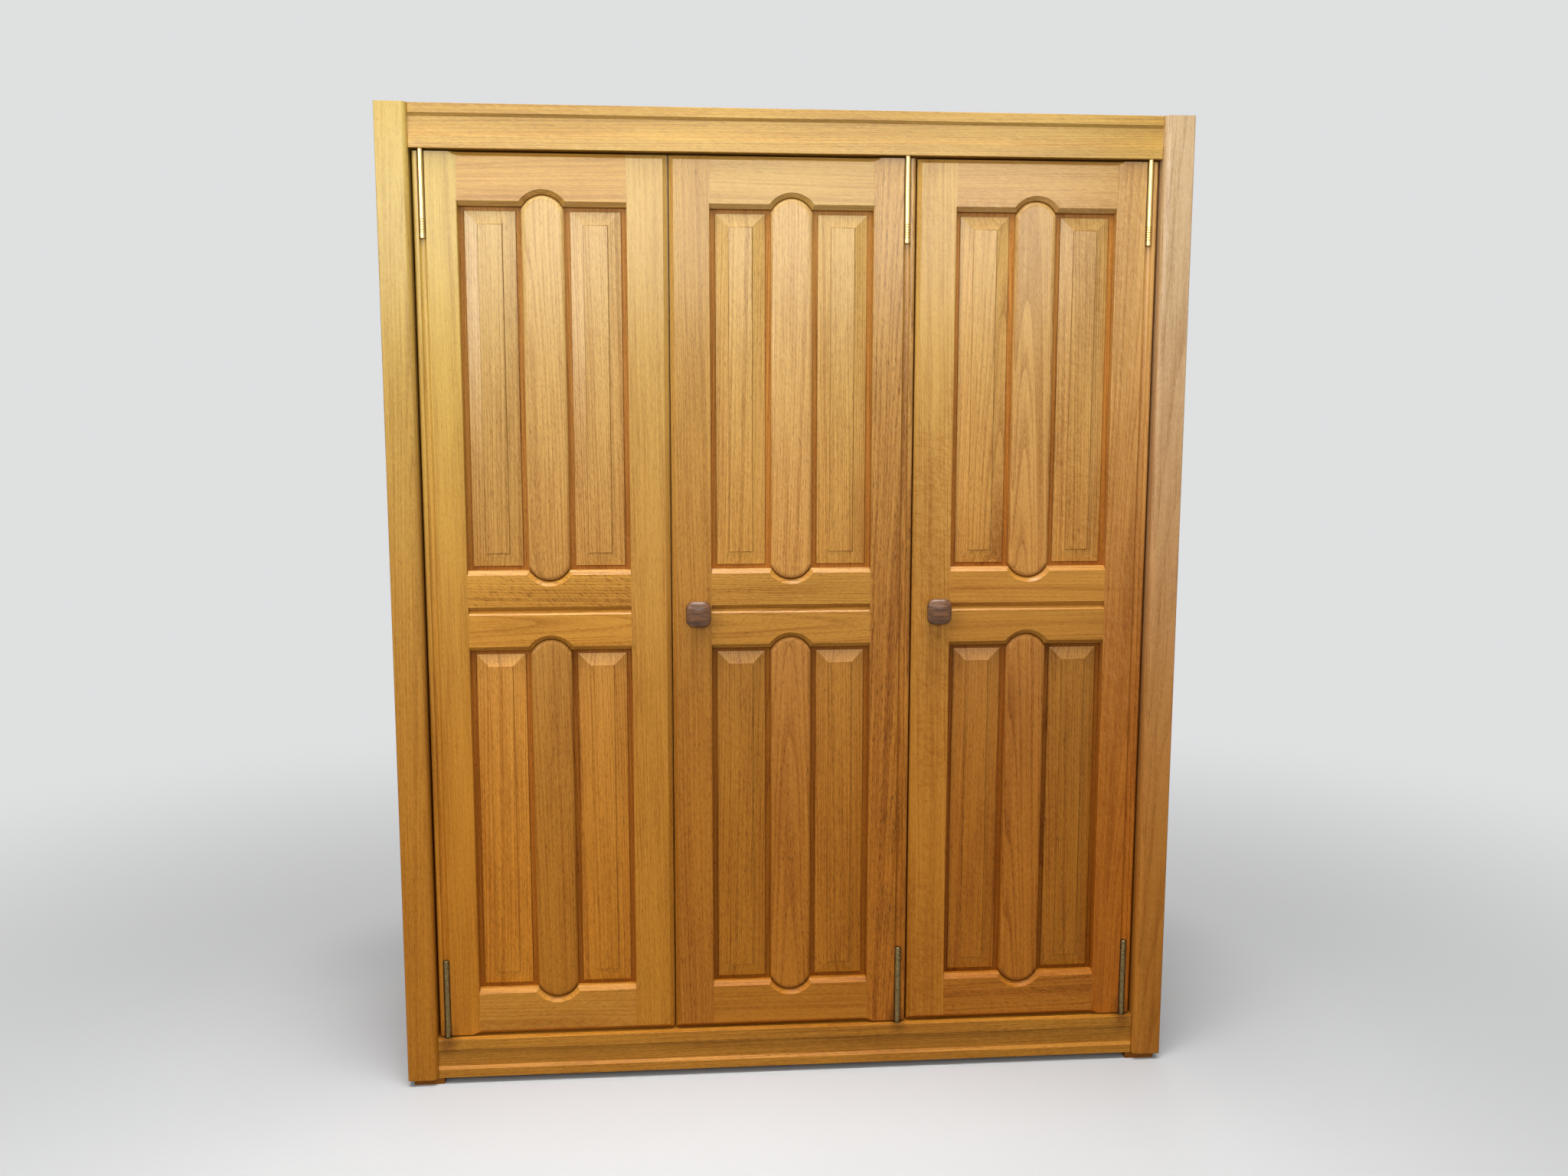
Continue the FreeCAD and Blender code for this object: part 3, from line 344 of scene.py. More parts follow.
def oakFinish(name, axes, **changes):
    look = {**plainBoard, **changes}
    draw = random.Random(name)
    material, start = newMaterial(name)
    spot = dict(zip("xyz", start.node("ShaderNodeTexCoord", None, None, "Object").parts()))
    chance = boardLuck(start, spot, look["splits"], draw)
    aloft = spot["z"].rise(*oak["paintedLightSpan"])
    lean, pores = look["lean"], look["pores"]
    if isinstance(lean, tuple):  # the lower and the upper board of the node
        upper = spot["z"] > look["splits"][0][1]
        lean, pores = (upper * (high - low) + low for low, high in (lean, pores))

    low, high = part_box(name)
    middle = dict(zip("xyz", (low + high) / 2))
    across, through, along = (spot[axis] for axis in axes)
    aside = across - middle[axes[0]] - (chance[2] - 0.5) * look["heart"] * 2
    under = through - middle[axes[1]] - grain["heartDepth"]
    along = along + chance[1] * grain["alongLuck"]
    across = across + chance[0] * grain["acrossLuck"]
    slanted = across + along * lean + (figure(across, through, along, "drift") - 0.5) * grain["drift"]
    through = through + draw.uniform(0, grain["throughLuck"])

    early = earlyWood(start, aside, under, along, figure(across, through, along, "wander") - 0.5)
    wave = (figure(across, through, along, "wave") - 0.5) * grain["wave"]
    fibre = figure(across + along * lean * grain["fibreLean"] + wave, through, along, "fibre")
    streak = figure(across, through, along, "streak")
    blotch = figure(across, through, along, "blotch")
    dash = poreDashes((slanted, through, along), pores, early, blotch, aloft)
    depth = early * look["rings"] + (fibre - 0.5) * look["fibre"]
    depth = depth + (streak - 0.5) * grain["streak"] + (blotch - 0.5) * grain["blotch"] + grain["ground"]
    colour = blended(depth, oak["pale"], oak["deep"])
    flecks = slantFigure(across, through, along, rays).rise(*rays["shows"])
    colour = blended(flecks * look["rays"], colour, oak["ray"])
    colour = blended(dash, colour, oak["pore"])
    if look["flame"]:
        flow = slantFigure(across, through, along, flames) - 0.5
        lines = (1 - flow.math("ABSOLUTE").rise(0.0, flames["width"])) * blotch.rise(*flames["patch"])
        colour = blended(lines * look["flame"], colour, oak["flame"], "MULTIPLY")

    tint = [t * draw.uniform(*oak["luckTone"]) for t in look["tint"]]
    colour = blended(1.0, colour, tint, "MULTIPLY")
    # painted light and shade: paler and whiter higher up, darker and more orange near the floor
    paintedLight = aloft * (aloft * oak["paintedLightCurve"] + (1 - oak["paintedLightCurve"]))
    colour = blended(1.0, colour, blended(paintedLight, oak["paintedShadeFoot"], look["paintedLightTop"]), "MULTIPLY")
    if look["splits"]:
        shade = boardShade(spot, look) if look["shades"] else spread(oak["luckShade"], chance[1])
        shades = joined(shade, shade * spread(oak["luckGreen"], chance[0]), shade)
        colour = blended(1.0, colour, shades, "MULTIPLY")
    lasting = aloft * aloft * (1 - oak["coatWorn"]) + oak["coatWorn"]
    if look["face"] is not None:
        colour, lasting = panellingLightAndShade(start, spot, aloft, look, colour, lasting)
    for mark in look["grime"]:
        colour = smudged(start, spot, mark, dash, blotch, colour)

    soft = start.node("ShaderNodeBevel", {"samples": 3}, {"Radius": look["arris"]})
    height = fibre * oak["fibreRelief"] - dash
    bump = {"Strength": oak["bump"], "Distance": oak["bumpDepth"], "Height": height, "Normal": soft}
    uneven = dash * oak["poreRoughness"] + (blotch - 0.5) * oak["blotchRoughness"]
    finishMaterial(start, {
        "Base Color": colour,
        "Roughness": oak["roughness"] + uneven,
        "Specular IOR Level": oak["specular"],
        "Coat Weight": lasting * look["coat"],
        "Coat Roughness": oak["coatRoughness"],
        "Normal": start.node("ShaderNodeBump", None, bump),
    })
    return material


def panelSteps(name):  # the rectangles of the field and of the raised part, from the front steps of the mesh
    places = [vertex.co for vertex in nodes[name].data.vertices]
    xMiddle = (min(p.x for p in places) + max(p.x for p in places)) / 2
    depths = sorted({round(p.y, 4) for p in places})
    steps = []
    for depth in (depths[0], depths[2]):
        layer = [p for p in places if p.y < depth + panelling["stepReach"]]
        sides = [abs(p.x - xMiddle) for p in layer]
        lowRow, highRow = ([p.z for p in layer if (p.z > doorMiddle) == upper] for upper in (False, True))
        rows = (doorMiddle, (min(lowRow), max(lowRow)), (min(highRow), max(highRow)))
        steps.append((rows, (xMiddle, min(sides), max(sides))))
    return steps


def dress(name, material):
    for slot in nodes[name].material_slots:
        slot.material = material


# Which way each board's grain runs: across its face, through it and along it
upright, level, sideUpright, sideLevel, flat, underfoot = "xyz", "zyx", "yxz", "zxy", "yzx", "xzy"
doorMiddle = sum(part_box("left_door_middle_rails")[k].z for k in (0, 1)) / 2
sideMiddle = sum(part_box("left_side_rails")[k].z for k in (0, 1)) / 2

doorBoards = {
    "hinge_stile": upright, "free_stile": upright, "top_rail": level, "middle_rails": level,
    "bottom_rail": level, "panels": upright, "pilasters": upright,
}
doorLooks = {
    # the left door's boards are tinted paler and yellower, partly their own tone and partly painted light
    # from the left
    "left": {
        "hinge_stile": {"tint": (1.14, 1.15, 1.02), "pores": 0.24, "heart": 0.24, "rings": 0.2,
                        "paintedLightTop": (1.02, 1.43, 2.40)},
        "free_stile": {"tint": (1.07, 1.18, 1.28), "pores": 0.24, "rings": 0.2,
                       "paintedLightTop": (1.03, 1.24, 2.00)},
        "top_rail": {"tint": (1.00, 0.97, 0.80), "pores": 0.30, "fibre": 0.9, "rays": 0.2},
        "middle_rails": {"tint": (1.18, 1.20, 1.08), "pores": (0.30, 1.10), "fibre": 0.8,
                         "lean": (0.04, 0.62), "shades": (1.02, 1.00)},
        "bottom_rail": {"tint": (1.12, 1.30, 1.85), "pores": 0.30, "fibre": 1.0, "rays": 0.30,
                        "lean": -0.4},
        "panels": {"tint": (1.06, 1.08, 1.00), "pores": (0.45, 0.55), "lean": (0.04, 0.20), "rings": 0.36,
                   "heart": 0.05, "shades": (1.22, 1.00, 1.10, 1.06)},
        "pilasters": {"tint": (1.05, 1.04, 1.00), "pores": 0.50, "rings": 0.34, "heart": 0.08,
                      "shades": (0.93, 1.10)},
    },
    "middle": {
        "hinge_stile": {"tint": (0.93, 0.84, 0.78), "pores": 0.75, "rings": 0.40,
                        "paintedLightTop": (1.18, 1.55, 2.8),
                        "grime": [(0.205, -0.272, 0.325, 0.045, 0.18),
                                  (0.210, -0.272, 0.530, 0.060, 0.08)]},
        "free_stile": {"tint": (0.97, 0.95, 0.95), "pores": 0.50},
        "top_rail": {"tint": (1.00, 0.99, 1.00), "pores": 0.35, "fibre": 0.9, "rays": 0.2},
        "middle_rails": {"tint": (0.99, 1.00, 1.00), "pores": 0.50, "lean": -0.12},
        "bottom_rail": {"tint": (0.98, 0.95, 0.97), "pores": 0.35},
        "panels": {"tint": (1.00, 0.95, 0.80), "pores": 0.55, "rings": 0.36, "heart": 0.09,
                   "shades": (0.93, 1.16, 0.97, 1.14)},
        "pilasters": {"tint": (0.99, 0.98, 0.95), "pores": 0.55, "lean": 0.12, "rays": 0.2,
                      "shades": (0.98, 1.18)},
    },
    "right": {
        "hinge_stile": {"tint": (0.98, 0.80, 0.54), "pores": 0.35, "rays": 0.3, "flame": 0.4,
                        "paintedLightTop": (1.24, 1.80, 4.8)},
        "free_stile": {"tint": (1.06, 1.12, 1.15), "pores": 0.25, "rays": 0.20, "lean": 0.06, "flame": 0.6},
        "top_rail": {"tint": (1.03, 0.98, 1.06), "pores": 0.30, "fibre": 0.9, "rays": 0.30, "flame": 0.4},
        "middle_rails": {"tint": (1.04, 1.06, 1.00), "pores": 0.20, "fibre": 0.9},
        "bottom_rail": {"tint": (1.00, 0.96, 0.95), "pores": 0.55, "lean": 0.35, "rays": 0.2},
        "panels": {"tint": (1.00, 0.94, 0.76), "pores": 0.50, "rings": 0.36, "heart": 0.07, "rays": 0.2,
                   "flame": 0.4, "shades": (0.92, 1.16, 0.86, 1.14)},
        "pilasters": {"tint": (1.00, 0.93, 0.86), "pores": 0.55, "rings": 0.40, "heart": 0.06,
                      "shades": (1.00, 1.16)},
    },
}


# Dark grease where the lower pivot rod meets the rail
pivotStain = {"reach": 0.030, "share": 0.60}


def pivotStains(door):
    low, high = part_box(f"{door}_door_pivot_rods")
    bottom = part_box(f"{door}_door_hinge_stile")[0].z
    return [((low.x + high.x) / 2, low.y, bottom, pivotStain["reach"], pivotStain["share"])]


def dressDoors():
    for door, looks in doorLooks.items():
        for piece, axes in doorBoards.items():
            name = f"{door}_door_{piece}"
            look = dict(looks[piece])
            if piece in ("middle_rails", "panels", "pilasters"):
                look["splits"] = [("z", doorMiddle)]
            if piece == "panels":
                low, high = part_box(name)
                look["splits"].append(("x", (low.x + high.x) / 2))
                look["steps"] = panelSteps(name)
                look["arris"] = oak["fieldArris"]
            if piece == "hinge_stile":
                look["grime"] = pivotStains(door) + looks[piece].get("grime", [])
            if piece in ("panels", "pilasters"):
                look["paintedLightTop"] = oak["fieldPaintedLightTop"]
            look["face"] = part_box(f"{door}_door_free_stile")[0].y
            dress(name, oakFinish(name, axes, **look))


# Boards of the carcass, plain and little varnished inside
postLook = {"pores": 0.3, "rings": 0.2, "heart": 0.25}
sideLooks = {
    "left": {**postLook, "tint": (1.02, 1.02, 1.0), "paintedLightTop": (1.09, 1.52, 2.50)},
    "right": {**postLook, "tint": (0.97, 1.00, 1.25), "paintedLightTop": (1.25, 1.78, 4.8)},
}
sideBoards = {"front_post": sideUpright, "rear_post": sideUpright, "side_rails": sideLevel}
sidePanel = {"heart": 0.12, "rings": 0.4, "coat": 0.3, "splits": [("z", sideMiddle)]}
inside = {"tint": (1.03, 1.08, 1.25), "coat": 0.08}
insideBoard = {**inside, "rings": 0.4, "heart": 0.2}
carcassBoards = {
    "top_front_rail": (level, {"tint": (0.97, 1.00, 0.80), "pores": 0.4, "fibre": 1.0, "rays": 0.25}),
    "bottom_front_rail": (level, {"tint": (1.05, 1.22, 1.55), "pores": 0.35,
                                  "grime": sum((pivotStains(door) for door in doorLooks), [])}),
    "rear_rails": (level, {}),
    "rear_muntins": (upright, {}),
    "back_panels": (upright, {**inside, "rings": 0.45, "heart": 0.1}),
    "top_board": (flat, insideBoard),
    "bottom_board": (flat, insideBoard),
    "hat_shelf": (flat, insideBoard),
    "linen_shelves": (flat, insideBoard),
    "partition": (sideUpright, insideBoard),
    "shelf_cleats": (sideLevel, inside),
    "feet": (underfoot, {"tint": (0.62, 0.58, 0.60), "pores": 0.6}),
}


def dressCarcass():
    for side, look in sideLooks.items():
        for piece, axes in sideBoards.items():
            dress(f"{side}_{piece}", oakFinish(f"{side}_{piece}", axes, **look))
        dress(f"{side}_side_panels", oakFinish(f"{side}_side_panels", sideUpright, **sidePanel))
    for name, (axes, look) in carcassBoards.items():
        dress(name, oakFinish(name, axes, **look))


dressDoors()
dressCarcass()
print("oak on the doors and the carcass")


# Turned brass, bright above and tarnished below
brass = {
    "bright": (0.70, 0.50, 0.19), "dull": (0.110, 0.080, 0.034), "roughness": 0.18, "dullRoughness": 0.24,
    "brightSpan": (0.5, 1.2), "tarnishAndShade": 0.60, "uneven": 0.55,
    "spots": (140.0, 4.0, 0.6), "spotShows": (0.60, 0.75), "spotShare": 0.25,
    "drawn": (900, 14), "drawnRoughness": 0.06,  # marks of the drawing die along the rod
    "rodRadius": 0.02, "sides": 0.62, "sideShadeSpan": (0.45, 0.95),  # painted shade: a rod's sides, as seen from the front, are darkened like a dark reflection, and its middle is left bright
}


def brassFinish(name):
    low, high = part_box(name)
    radius = (high.x - low.x) / 2
    material, start = newMaterial(f"brass_{name}")
    place = start.node("ShaderNodeTexCoord", None, None, "Object")
    x, y, z = place.parts()
    spots = place.noise(*brass["spots"])
    wide, long = brass["drawn"]
    drawn = joined(x * wide, y * wide, z * long).noise(1.0, 2.0)
    lower = 1 - z.rise(*brass["brightSpan"])
    tarnishAndShade = lower * (brass["tarnishAndShade"] + spots * brass["uneven"])
    tarnishAndShade = tarnishAndShade + spots.rise(*brass["spotShows"]) * brass["spotShare"]
    # painted shade: darker towards the sides of a rod as seen from the front, added to the tarnish
    if radius < brass["rodRadius"]:
        side = (x - low.x - radius).math("ABSOLUTE") / radius
        tarnishAndShade = tarnishAndShade.math("MAXIMUM", side.rise(*brass["sideShadeSpan"]) * brass["sides"])
    finishMaterial(start, {
        "Base Color": blended(tarnishAndShade, brass["bright"], brass["dull"]),
        "Metallic": 1.0,
        "Roughness": brass["roughness"] + tarnishAndShade * brass["dullRoughness"] + drawn * brass["drawnRoughness"],
    })
    return material


# Dark polished wood of the knobs
knobWood = {
    "pale": (0.190, 0.080, 0.029), "deep": (0.074, 0.031, 0.012),
    "grain": (28, 190), "grainShows": (0.32, 0.68), "streak": (80, 1000),
    "streakShows": (0.58, 0.70), "streakShare": 0.5, "streakRoughness": 0.10,
    "roughness": 0.40, "specular": 0.3, "coat": 0.30, "coatRoughness": 0.22,
    "bump": 0.2, "bumpDepth": 0.0004,
}


def knobFinish():
    material, start = newMaterial("knobWood")
    x, y, z = start.node("ShaderNodeTexCoord", None, None, "Object").parts()
    long, wide = knobWood["grain"]
    figured = joined(x * long, y * wide, z * wide).noise(1.0, 4.0, 0.6)
    long, wide = knobWood["streak"]
    streak = joined(x * long, y * wide, z * wide).noise(1.0, 2.0)
    colour = blended(figured.rise(*knobWood["grainShows"]), knobWood["pale"], knobWood["deep"])
    dark = streak.rise(*knobWood["streakShows"]) * knobWood["streakShare"]
    bump = {"Strength": knobWood["bump"], "Distance": knobWood["bumpDepth"], "Height": streak}
    finishMaterial(start, {
        "Base Color": blended(dark, colour, knobWood["deep"]),
        "Roughness": knobWood["roughness"] + streak * knobWood["streakRoughness"],
        "Specular IOR Level": knobWood["specular"],
        "Coat Weight": knobWood["coat"],
        "Coat Roughness": knobWood["coatRoughness"],
        "Normal": start.node("ShaderNodeBump", None, bump),
    })
    return material


# Zinc plated steel of the strikes and screws
steel = {
    "bright": (0.50, 0.50, 0.51), "dull": (0.30, 0.30, 0.31),
    "cloud": (45.0, 3.0), "cloudShows": (0.35, 0.75),
    "brushed": (12, 600), "roughness": 0.34, "brushedRoughness": 0.2,
}


def steelFinish():
    material, start = newMaterial("steel")
    place = start.node("ShaderNodeTexCoord", None, None, "Object")
    x, y, z = place.parts()
    long, wide = steel["brushed"]
    brushed = joined(x * long, y * wide, z * wide).noise(1.0, 3.0)
    cloud = place.noise(*steel["cloud"])
    finishMaterial(start, {
        "Base Color": blended(cloud.rise(*steel["cloudShows"]), steel["bright"], steel["dull"]),
        "Metallic": 1.0,
        "Roughness": steel["roughness"] + brushed * steel["brushedRoughness"],
    })
    return material


# Moulded brown plastic of the catches
catchPlastic = {
    "colour": (0.11, 0.062, 0.035), "worn": (0.17, 0.10, 0.06),
    "cloud": (60.0, 3.0), "wornShows": (0.4, 0.8), "grain": (1800.0, 2.0),
    "roughness": 0.45, "grainRoughness": 0.2, "specular": 0.3,
    "bump": 0.08, "bumpDepth": 0.0002,
}


def catchFinish():
    material, start = newMaterial("catchPlastic")
    place = start.node("ShaderNodeTexCoord", None, None, "Object")
    grainy = place.noise(*catchPlastic["grain"])
    worn = place.noise(*catchPlastic["cloud"]).rise(*catchPlastic["wornShows"])
    bump = {"Strength": catchPlastic["bump"], "Distance": catchPlastic["bumpDepth"], "Height": grainy}
    finishMaterial(start, {
        "Base Color": blended(worn, catchPlastic["colour"], catchPlastic["worn"]),
        "Roughness": catchPlastic["roughness"] + grainy * catchPlastic["grainRoughness"],
        "Specular IOR Level": catchPlastic["specular"],
        "Normal": start.node("ShaderNodeBump", None, bump),
    })
    return material


def dressFittings(bright):
    dark, plastic = knobFinish(), catchFinish()
    for door in doorLooks:
        dress(f"{door}_door_pivot_rods", brassFinish(f"{door}_door_pivot_rods"))
        dress(f"{door}_door_strike", bright)
        if door != "left":
            dress(f"{door}_door_knob", dark)
    for name in ("pivot_bushes", "hanging_rail", "rail_sockets"):
        dress(name, brassFinish(name))
    dress("door_catches", plastic)


plate = steelFinish()
dressFittings(plate)
print("brass, knob wood, steel and plastic on the fittings")


# Countersunk screws with a cross recess
screwForm = {
    "Head radius": 0.0040, "Head height": 0.0026, "Shank radius": 0.0020, "Tip radius": 0.0005,
    "Tip share": 0.2, "Wing length": 0.0046, "Wing width": 0.0011, "Wing depth": 0.0014,
    "Sides": 24, "Seed": 7,
}
weldReach = 0.00001  # vertices nearer than this are one
endReach = 0.0002  # vertices this near to an end of a screw belong to it


def islandsOf(mesh):  # the vertices of each separate solid
    left = set(mesh.verts)
    while left:
        island, edge = [], [left.pop()]
        while edge:
            vertex = edge.pop()
            island.append(vertex.co.copy())
            near = {link.other_vert(vertex) for link in vertex.link_edges} & left
            left -= near
            edge.extend(near)
        yield island


def screwPlaces(name):  # the head's middle, the direction and the length of each screw of a node
    mesh = bmesh.new()
    mesh.from_mesh(nodes[name].data)
    bmesh.ops.remove_doubles(mesh, verts=mesh.verts, dist=weldReach)
    places = []
    for island in islandsOf(mesh):
        low, high = (Vector([pick(p[k] for p in island) for k in range(3)]) for pick in (min, max))
        size = high - low
        axis = max(range(3), key=lambda k: size[k])
        ends = (min(island, key=lambda p: p[axis]), max(island, key=lambda p: p[axis]))
        middle = (low + high) / 2
        rims = [[p for p in island if abs(p[axis] - end[axis]) < endReach] for end in ends]
        widths = [max((p - middle)[axis - 1] ** 2 for p in rim) for rim in rims]
        direction = Vector([0.0, 0.0, 0.0])
        direction[axis] = 1.0 if widths[0] > widths[1] else -1.0
        places.append((middle - direction * size[axis] / 2, direction, size[axis]))
    mesh.free()
    return sorted(places, key=lambda place: tuple(place[0]))


def screwTree():
    tree = bpy.data.node_groups.new("screws", "GeometryNodeTree")
    kinds = {"Sides": "NodeSocketInt", "Seed": "NodeSocketInt"}
    tree.interface.new_socket("Geometry", in_out="INPUT", socket_type="NodeSocketGeometry")
    for key in screwForm:
        tree.interface.new_socket(key, in_out="INPUT", socket_type=kinds.get(key, "NodeSocketFloat"))
    tree.interface.new_socket("Material", in_out="INPUT", socket_type="NodeSocketMaterial")
    tree.interface.new_socket("Geometry", in_out="OUTPUT", socket_type="NodeSocketGeometry")
    start = Wire(tree)
    given = {socket.name: Wire(tree, socket) for socket in start.node("NodeGroupInput").socket.node.outputs}

    def attribute(name, kind):
        return start.node("GeometryNodeInputNamedAttribute", {"data_type": kind}, {"Name": name})

    def cone(lower, upper, height):
        sockets = {"Vertices": given["Sides"], "Radius Bottom": lower, "Radius Top": upper, "Depth": height}
        return start.node("GeometryNodeMeshCone", None, sockets)

    head = cone(given["Head radius"], given["Shank radius"], given["Head height"])
    deep = given["Wing depth"] * 2
    long, wide = given["Wing length"], given["Wing width"]
    wings = [start.node("GeometryNodeMeshCube", None, {"Size": joined(*plan, deep)})
             for plan in ((long, wide), (wide, long))]
    recess = {"operation": "DIFFERENCE", "solver": "EXACT"}
    head = start.node("GeometryNodeMeshBoolean", recess, {"Mesh 1": head, "Mesh 2": wings})

    plain = 1 - given["Tip share"]
    point = cone(given["Shank radius"], given["Tip radius"], given["Tip share"])
    beyond = {"Geometry": point, "Translation": joined(0.0, 0.0, plain)}
    point = start.node("GeometryNodeTransform", None, beyond)
    shank = cone(given["Shank radius"], given["Shank radius"], plain)
    shank = start.node("GeometryNodeJoinGeometry", None, {"Geometry": [shank, point]})

    axis = attribute("axis", "FLOAT_VECTOR")
    spin = start.node("FunctionNodeRandomValue", {"data_type": "FLOAT"}, {3: math.tau, 8: given["Seed"]}, 1)
    turn = start.node("FunctionNodeAxisAngleToRotation", None, {"Axis": (0.0, 0.0, 1.0), "Angle": spin})
    aimed = start.node("FunctionNodeAlignRotationToVector", {"axis": "Z"}, {"Vector": axis})
    turned = {"Rotation": aimed, "Rotate By": turn}
    turned = start.node("FunctionNodeRotateRotation", {"rotation_space": "LOCAL"}, turned)
    under = {0: axis, "Scale": given["Head height"]}
    under = start.node("ShaderNodeVectorMath", {"operation": "SCALE"}, under)
    sunk = start.node("GeometryNodeSetPosition", None, {"Geometry": given["Geometry"], "Offset": under})
    reach = attribute("reach", "FLOAT") - given["Head height"]
    heads = {"Points": given["Geometry"], "Instance": head, "Rotation": turned}
    shanks = {"Points": sunk, "Instance": shank, "Rotation": aimed, "Scale": joined(1.0, 1.0, reach)}
    both = [start.node("GeometryNodeInstanceOnPoints", None, sockets) for sockets in (heads, shanks)]
    whole = start.node("GeometryNodeJoinGeometry", None, {"Geometry": both})
    whole = start.node("GeometryNodeRealizeInstances", None, {"Geometry": whole})
    whole = start.node("GeometryNodeSetMaterial", None, {"Geometry": whole, "Material": given["Material"]})
    start.node("NodeGroupOutput", None, {"Geometry": whole})
    return tree


def makeScrews(tree, body, name):
    places = screwPlaces(name)
    points = bpy.data.meshes.new(f"{body}_screw_points")
    points.from_pydata([head for head, direction, reach in places], [], [])
    points.attributes.new("axis", "FLOAT_VECTOR", "POINT")
    points.attributes.new("reach", "FLOAT", "POINT")
    for k, (head, direction, reach) in enumerate(places):
        points.attributes["axis"].data[k].vector = direction
        points.attributes["reach"].data[k].value = reach
    piece = bpy.data.objects.new(f"{body}_screws", points)
    scene.collection.objects.link(piece)
    modifier = piece.modifiers.new("screws", "NODES")
    modifier.node_group = tree
    inputs = {**screwForm, "Material": plate}
    for socket in tree.interface.items_tree:
        if socket.name in inputs:
            modifier[socket.identifier] = inputs[socket.name]
    solid = bpy.data.meshes.new_from_object(piece.evaluated_get(bpy.context.evaluated_depsgraph_get()))
    piece.modifiers.clear()
    piece.data = solid
    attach(piece, body)
    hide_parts(name)
    return len(places)


screws = screwTree()
count = makeScrews(screws, "carcass", "wood_screws")
for door in doorLooks:
    count += makeScrews(screws, f"{door}_door", f"{door}_door_pivot_screws")
print("screws:", count)


# Stage: a pale floor that keeps the shadow near the wardrobe and melts into the pale surround
stage = {
    "floor": (0.50, 0.505, 0.51), "floorHalf": 40.0, "bounce": 0.14, "surround": (0.74, 0.745, 0.75),
    "ambient": 0.24, "lift": 0.40, "liftReach": 0.5, "fadeReach": 2.6,
    "worn": 0.95, "cloud": (3.0, 3.0), "roughness": 0.65,
}


def seenDirectly(start):  # 1 for what the camera sees, straight or in a mirror or through glass
    path = start.node("ShaderNodeLightPath").socket.node
    names = ("Is Camera Ray", "Is Glossy Ray", "Is Transmission Ray")
    ways = [Wire(start.tree, path.outputs[name]) for name in names]
    return ways[0].math("MAXIMUM", ways[1]).math("MAXIMUM", ways[2])


def makeFloor():
    half = stage["floorHalf"]
    mesh = bpy.data.meshes.new("floor")
    corners = [(-half, -half, 0), (half, -half, 0), (half, half, 0), (-half, half, 0)]
    mesh.from_pydata(corners, [], [(0, 1, 2, 3)])
    floor = bpy.data.objects.new("floor", mesh)
    scene.collection.objects.link(floor)
    material, start = newMaterial("floor")
    place = start.node("ShaderNodeTexCoord", None, None, "Object")
    beyond = [part.math("ABSOLUTE") - edge for part, edge in zip(place.parts(), cadHigh.xy)]
    beyond = joined(*(part.math("MAXIMUM", 0.0) for part in beyond), 0.0)
    away = start.node("ShaderNodeVectorMath", {"operation": "LENGTH"}, {0: beyond}, "Value")
    seen = seenDirectly(start)
    worn = [stage["worn"] * c for c in stage["floor"]]
    worn = blended(place.noise(*stage["cloud"]), stage["floor"], worn)
    paint = {"Base Color": blended(seen, [stage["bounce"]] * 3, worn), "Roughness": stage["roughness"]}
    solid = start.node("ShaderNodeBsdfPrincipled", None, paint)
    glow = start.node("ShaderNodeEmission", None, {"Color": (*stage["surround"], 1.0)})
    near = away.rise(0.0, stage["liftReach"]) * stage["lift"]
    far = (near + away.rise(0.0, stage["fadeReach"]) * (1 - stage["lift"])) * seen
    mixed = start.node("ShaderNodeMixShader", None, {0: far, 1: solid, 2: glow})
    start.node("ShaderNodeOutputMaterial", None, {"Surface": mixed})
    mesh.materials.append(material)


def makeWorld():
    world = bpy.data.worlds.new("studio")
    scene.world = world
    world.use_nodes = True
    world.node_tree.nodes.clear()
    start = Wire(world.node_tree)
    strength = stage["ambient"] + seenDirectly(start) * (1 - stage["ambient"])
    surround = {"Color": (*stage["surround"], 1.0), "Strength": strength}
    surround = start.node("ShaderNodeBackground", None, surround)
    start.node("ShaderNodeOutputWorld", None, {"Surface": surround})


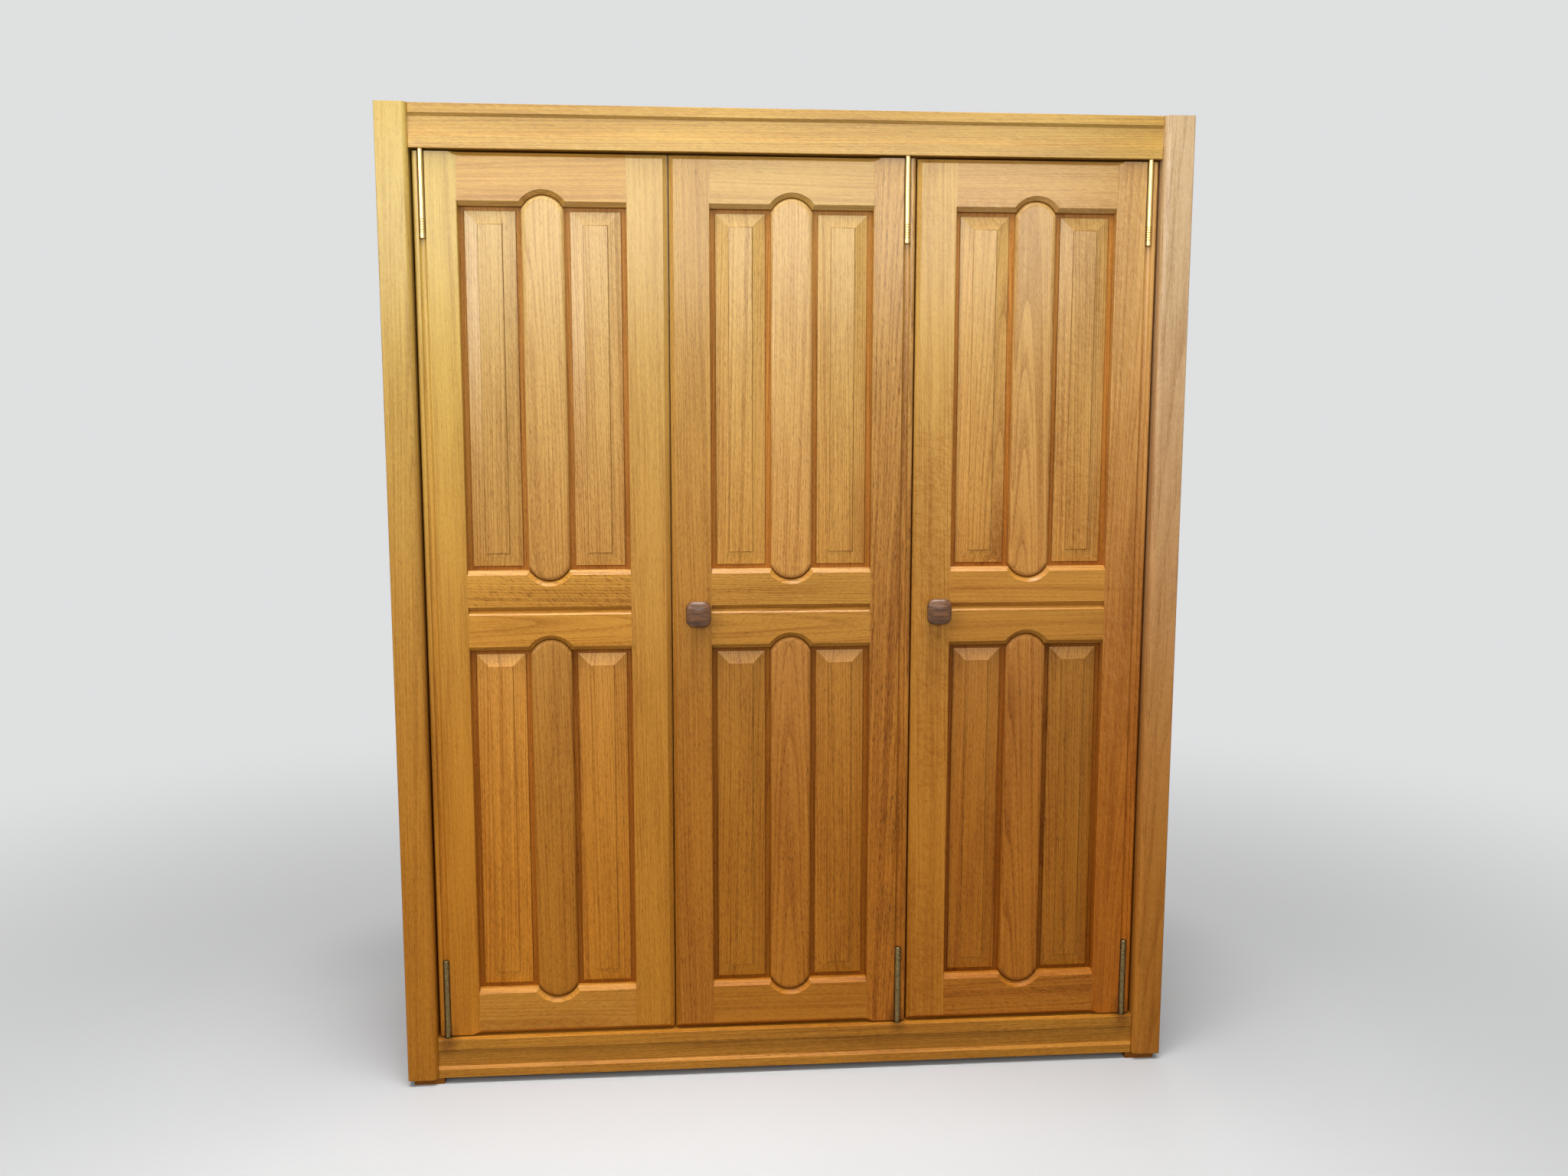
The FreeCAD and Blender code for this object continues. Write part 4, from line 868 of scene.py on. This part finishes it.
# Area lamps: places, sizes in metres, power in watts and spread in degrees
lamps = {
    "overhead": {"at": (-0.2, -0.85, 3.1), "aim": (-0.2, -0.85, 0.0), "size": (2.6, 0.5), "power": 14.0,
                 "spread": 50},
    "canopy": {"at": (-0.3, -1.15, 2.9), "aim": (-0.3, -0.9, 0.0), "size": (2.6, 1.3), "power": 22.0},
    "ceiling": {"at": (-0.5, -2.1, 3.3), "aim": (0.0, -0.27, 0.9), "size": (2.6, 1.4), "power": 22.0},
    "front": {"at": (0.0, -4.6, 2.25), "aim": (0.0, -0.27, 1.4), "size": (3.8, 0.8), "power": 58.0},
    "left": {"at": (-2.5, -2.8, 2.0), "aim": (-0.2, -0.27, 1.3), "size": (1.0, 1.2), "power": 31.0},
    "right": {"at": (3.0, -2.6, 1.7), "aim": (0.2, -0.27, 1.0), "size": (1.4, 2.0), "power": 3.0},
    "back": {"at": (0.5, 3.4, 2.8), "aim": (0.0, 0.3, 1.0), "size": (3.0, 2.0), "power": 60.0},
}


def makeLamps():
    for name, lamp in lamps.items():
        data = bpy.data.lights.new(name, "AREA")
        data.shape = "RECTANGLE"
        data.size, data.size_y = lamp["size"]
        data.energy = lamp["power"]
        data.spread = math.radians(lamp.get("spread", 180))
        light = bpy.data.objects.new(name, data)
        light.location = lamp["at"]
        towards = Vector(lamp["aim"]) - Vector(lamp["at"])
        light.rotation_euler = towards.to_track_quat("-Z", "Y").to_euler()
        scene.collection.objects.link(light)


# Camera where the photograph was taken from
view = {
    "at": (-0.2416, -2.9872, 1.369), "turn": 4.744, "tilt": -7.745, "roll": 0.087,
    "lens": 32.17, "sensor": 36.0,
}


def makeCamera():
    data = bpy.data.cameras.new("camera")
    data.sensor_width = view["sensor"]
    data.lens = view["lens"]
    camera = bpy.data.objects.new("camera", data)
    turn = Matrix.Rotation(math.radians(-view["turn"]), 3, "Z")
    tilt = Matrix.Rotation(math.radians(90 + view["tilt"]), 3, "X")
    roll = Matrix.Rotation(math.radians(view["roll"]), 3, "Z")
    camera.rotation_euler = (turn @ tilt @ roll).to_euler()
    camera.location = view["at"]
    scene.collection.objects.link(camera)
    scene.camera = camera


makeFloor()
makeWorld()
makeLamps()
makeCamera()
scene.view_settings.view_transform = "Standard"
print("stage, lamps and camera set")
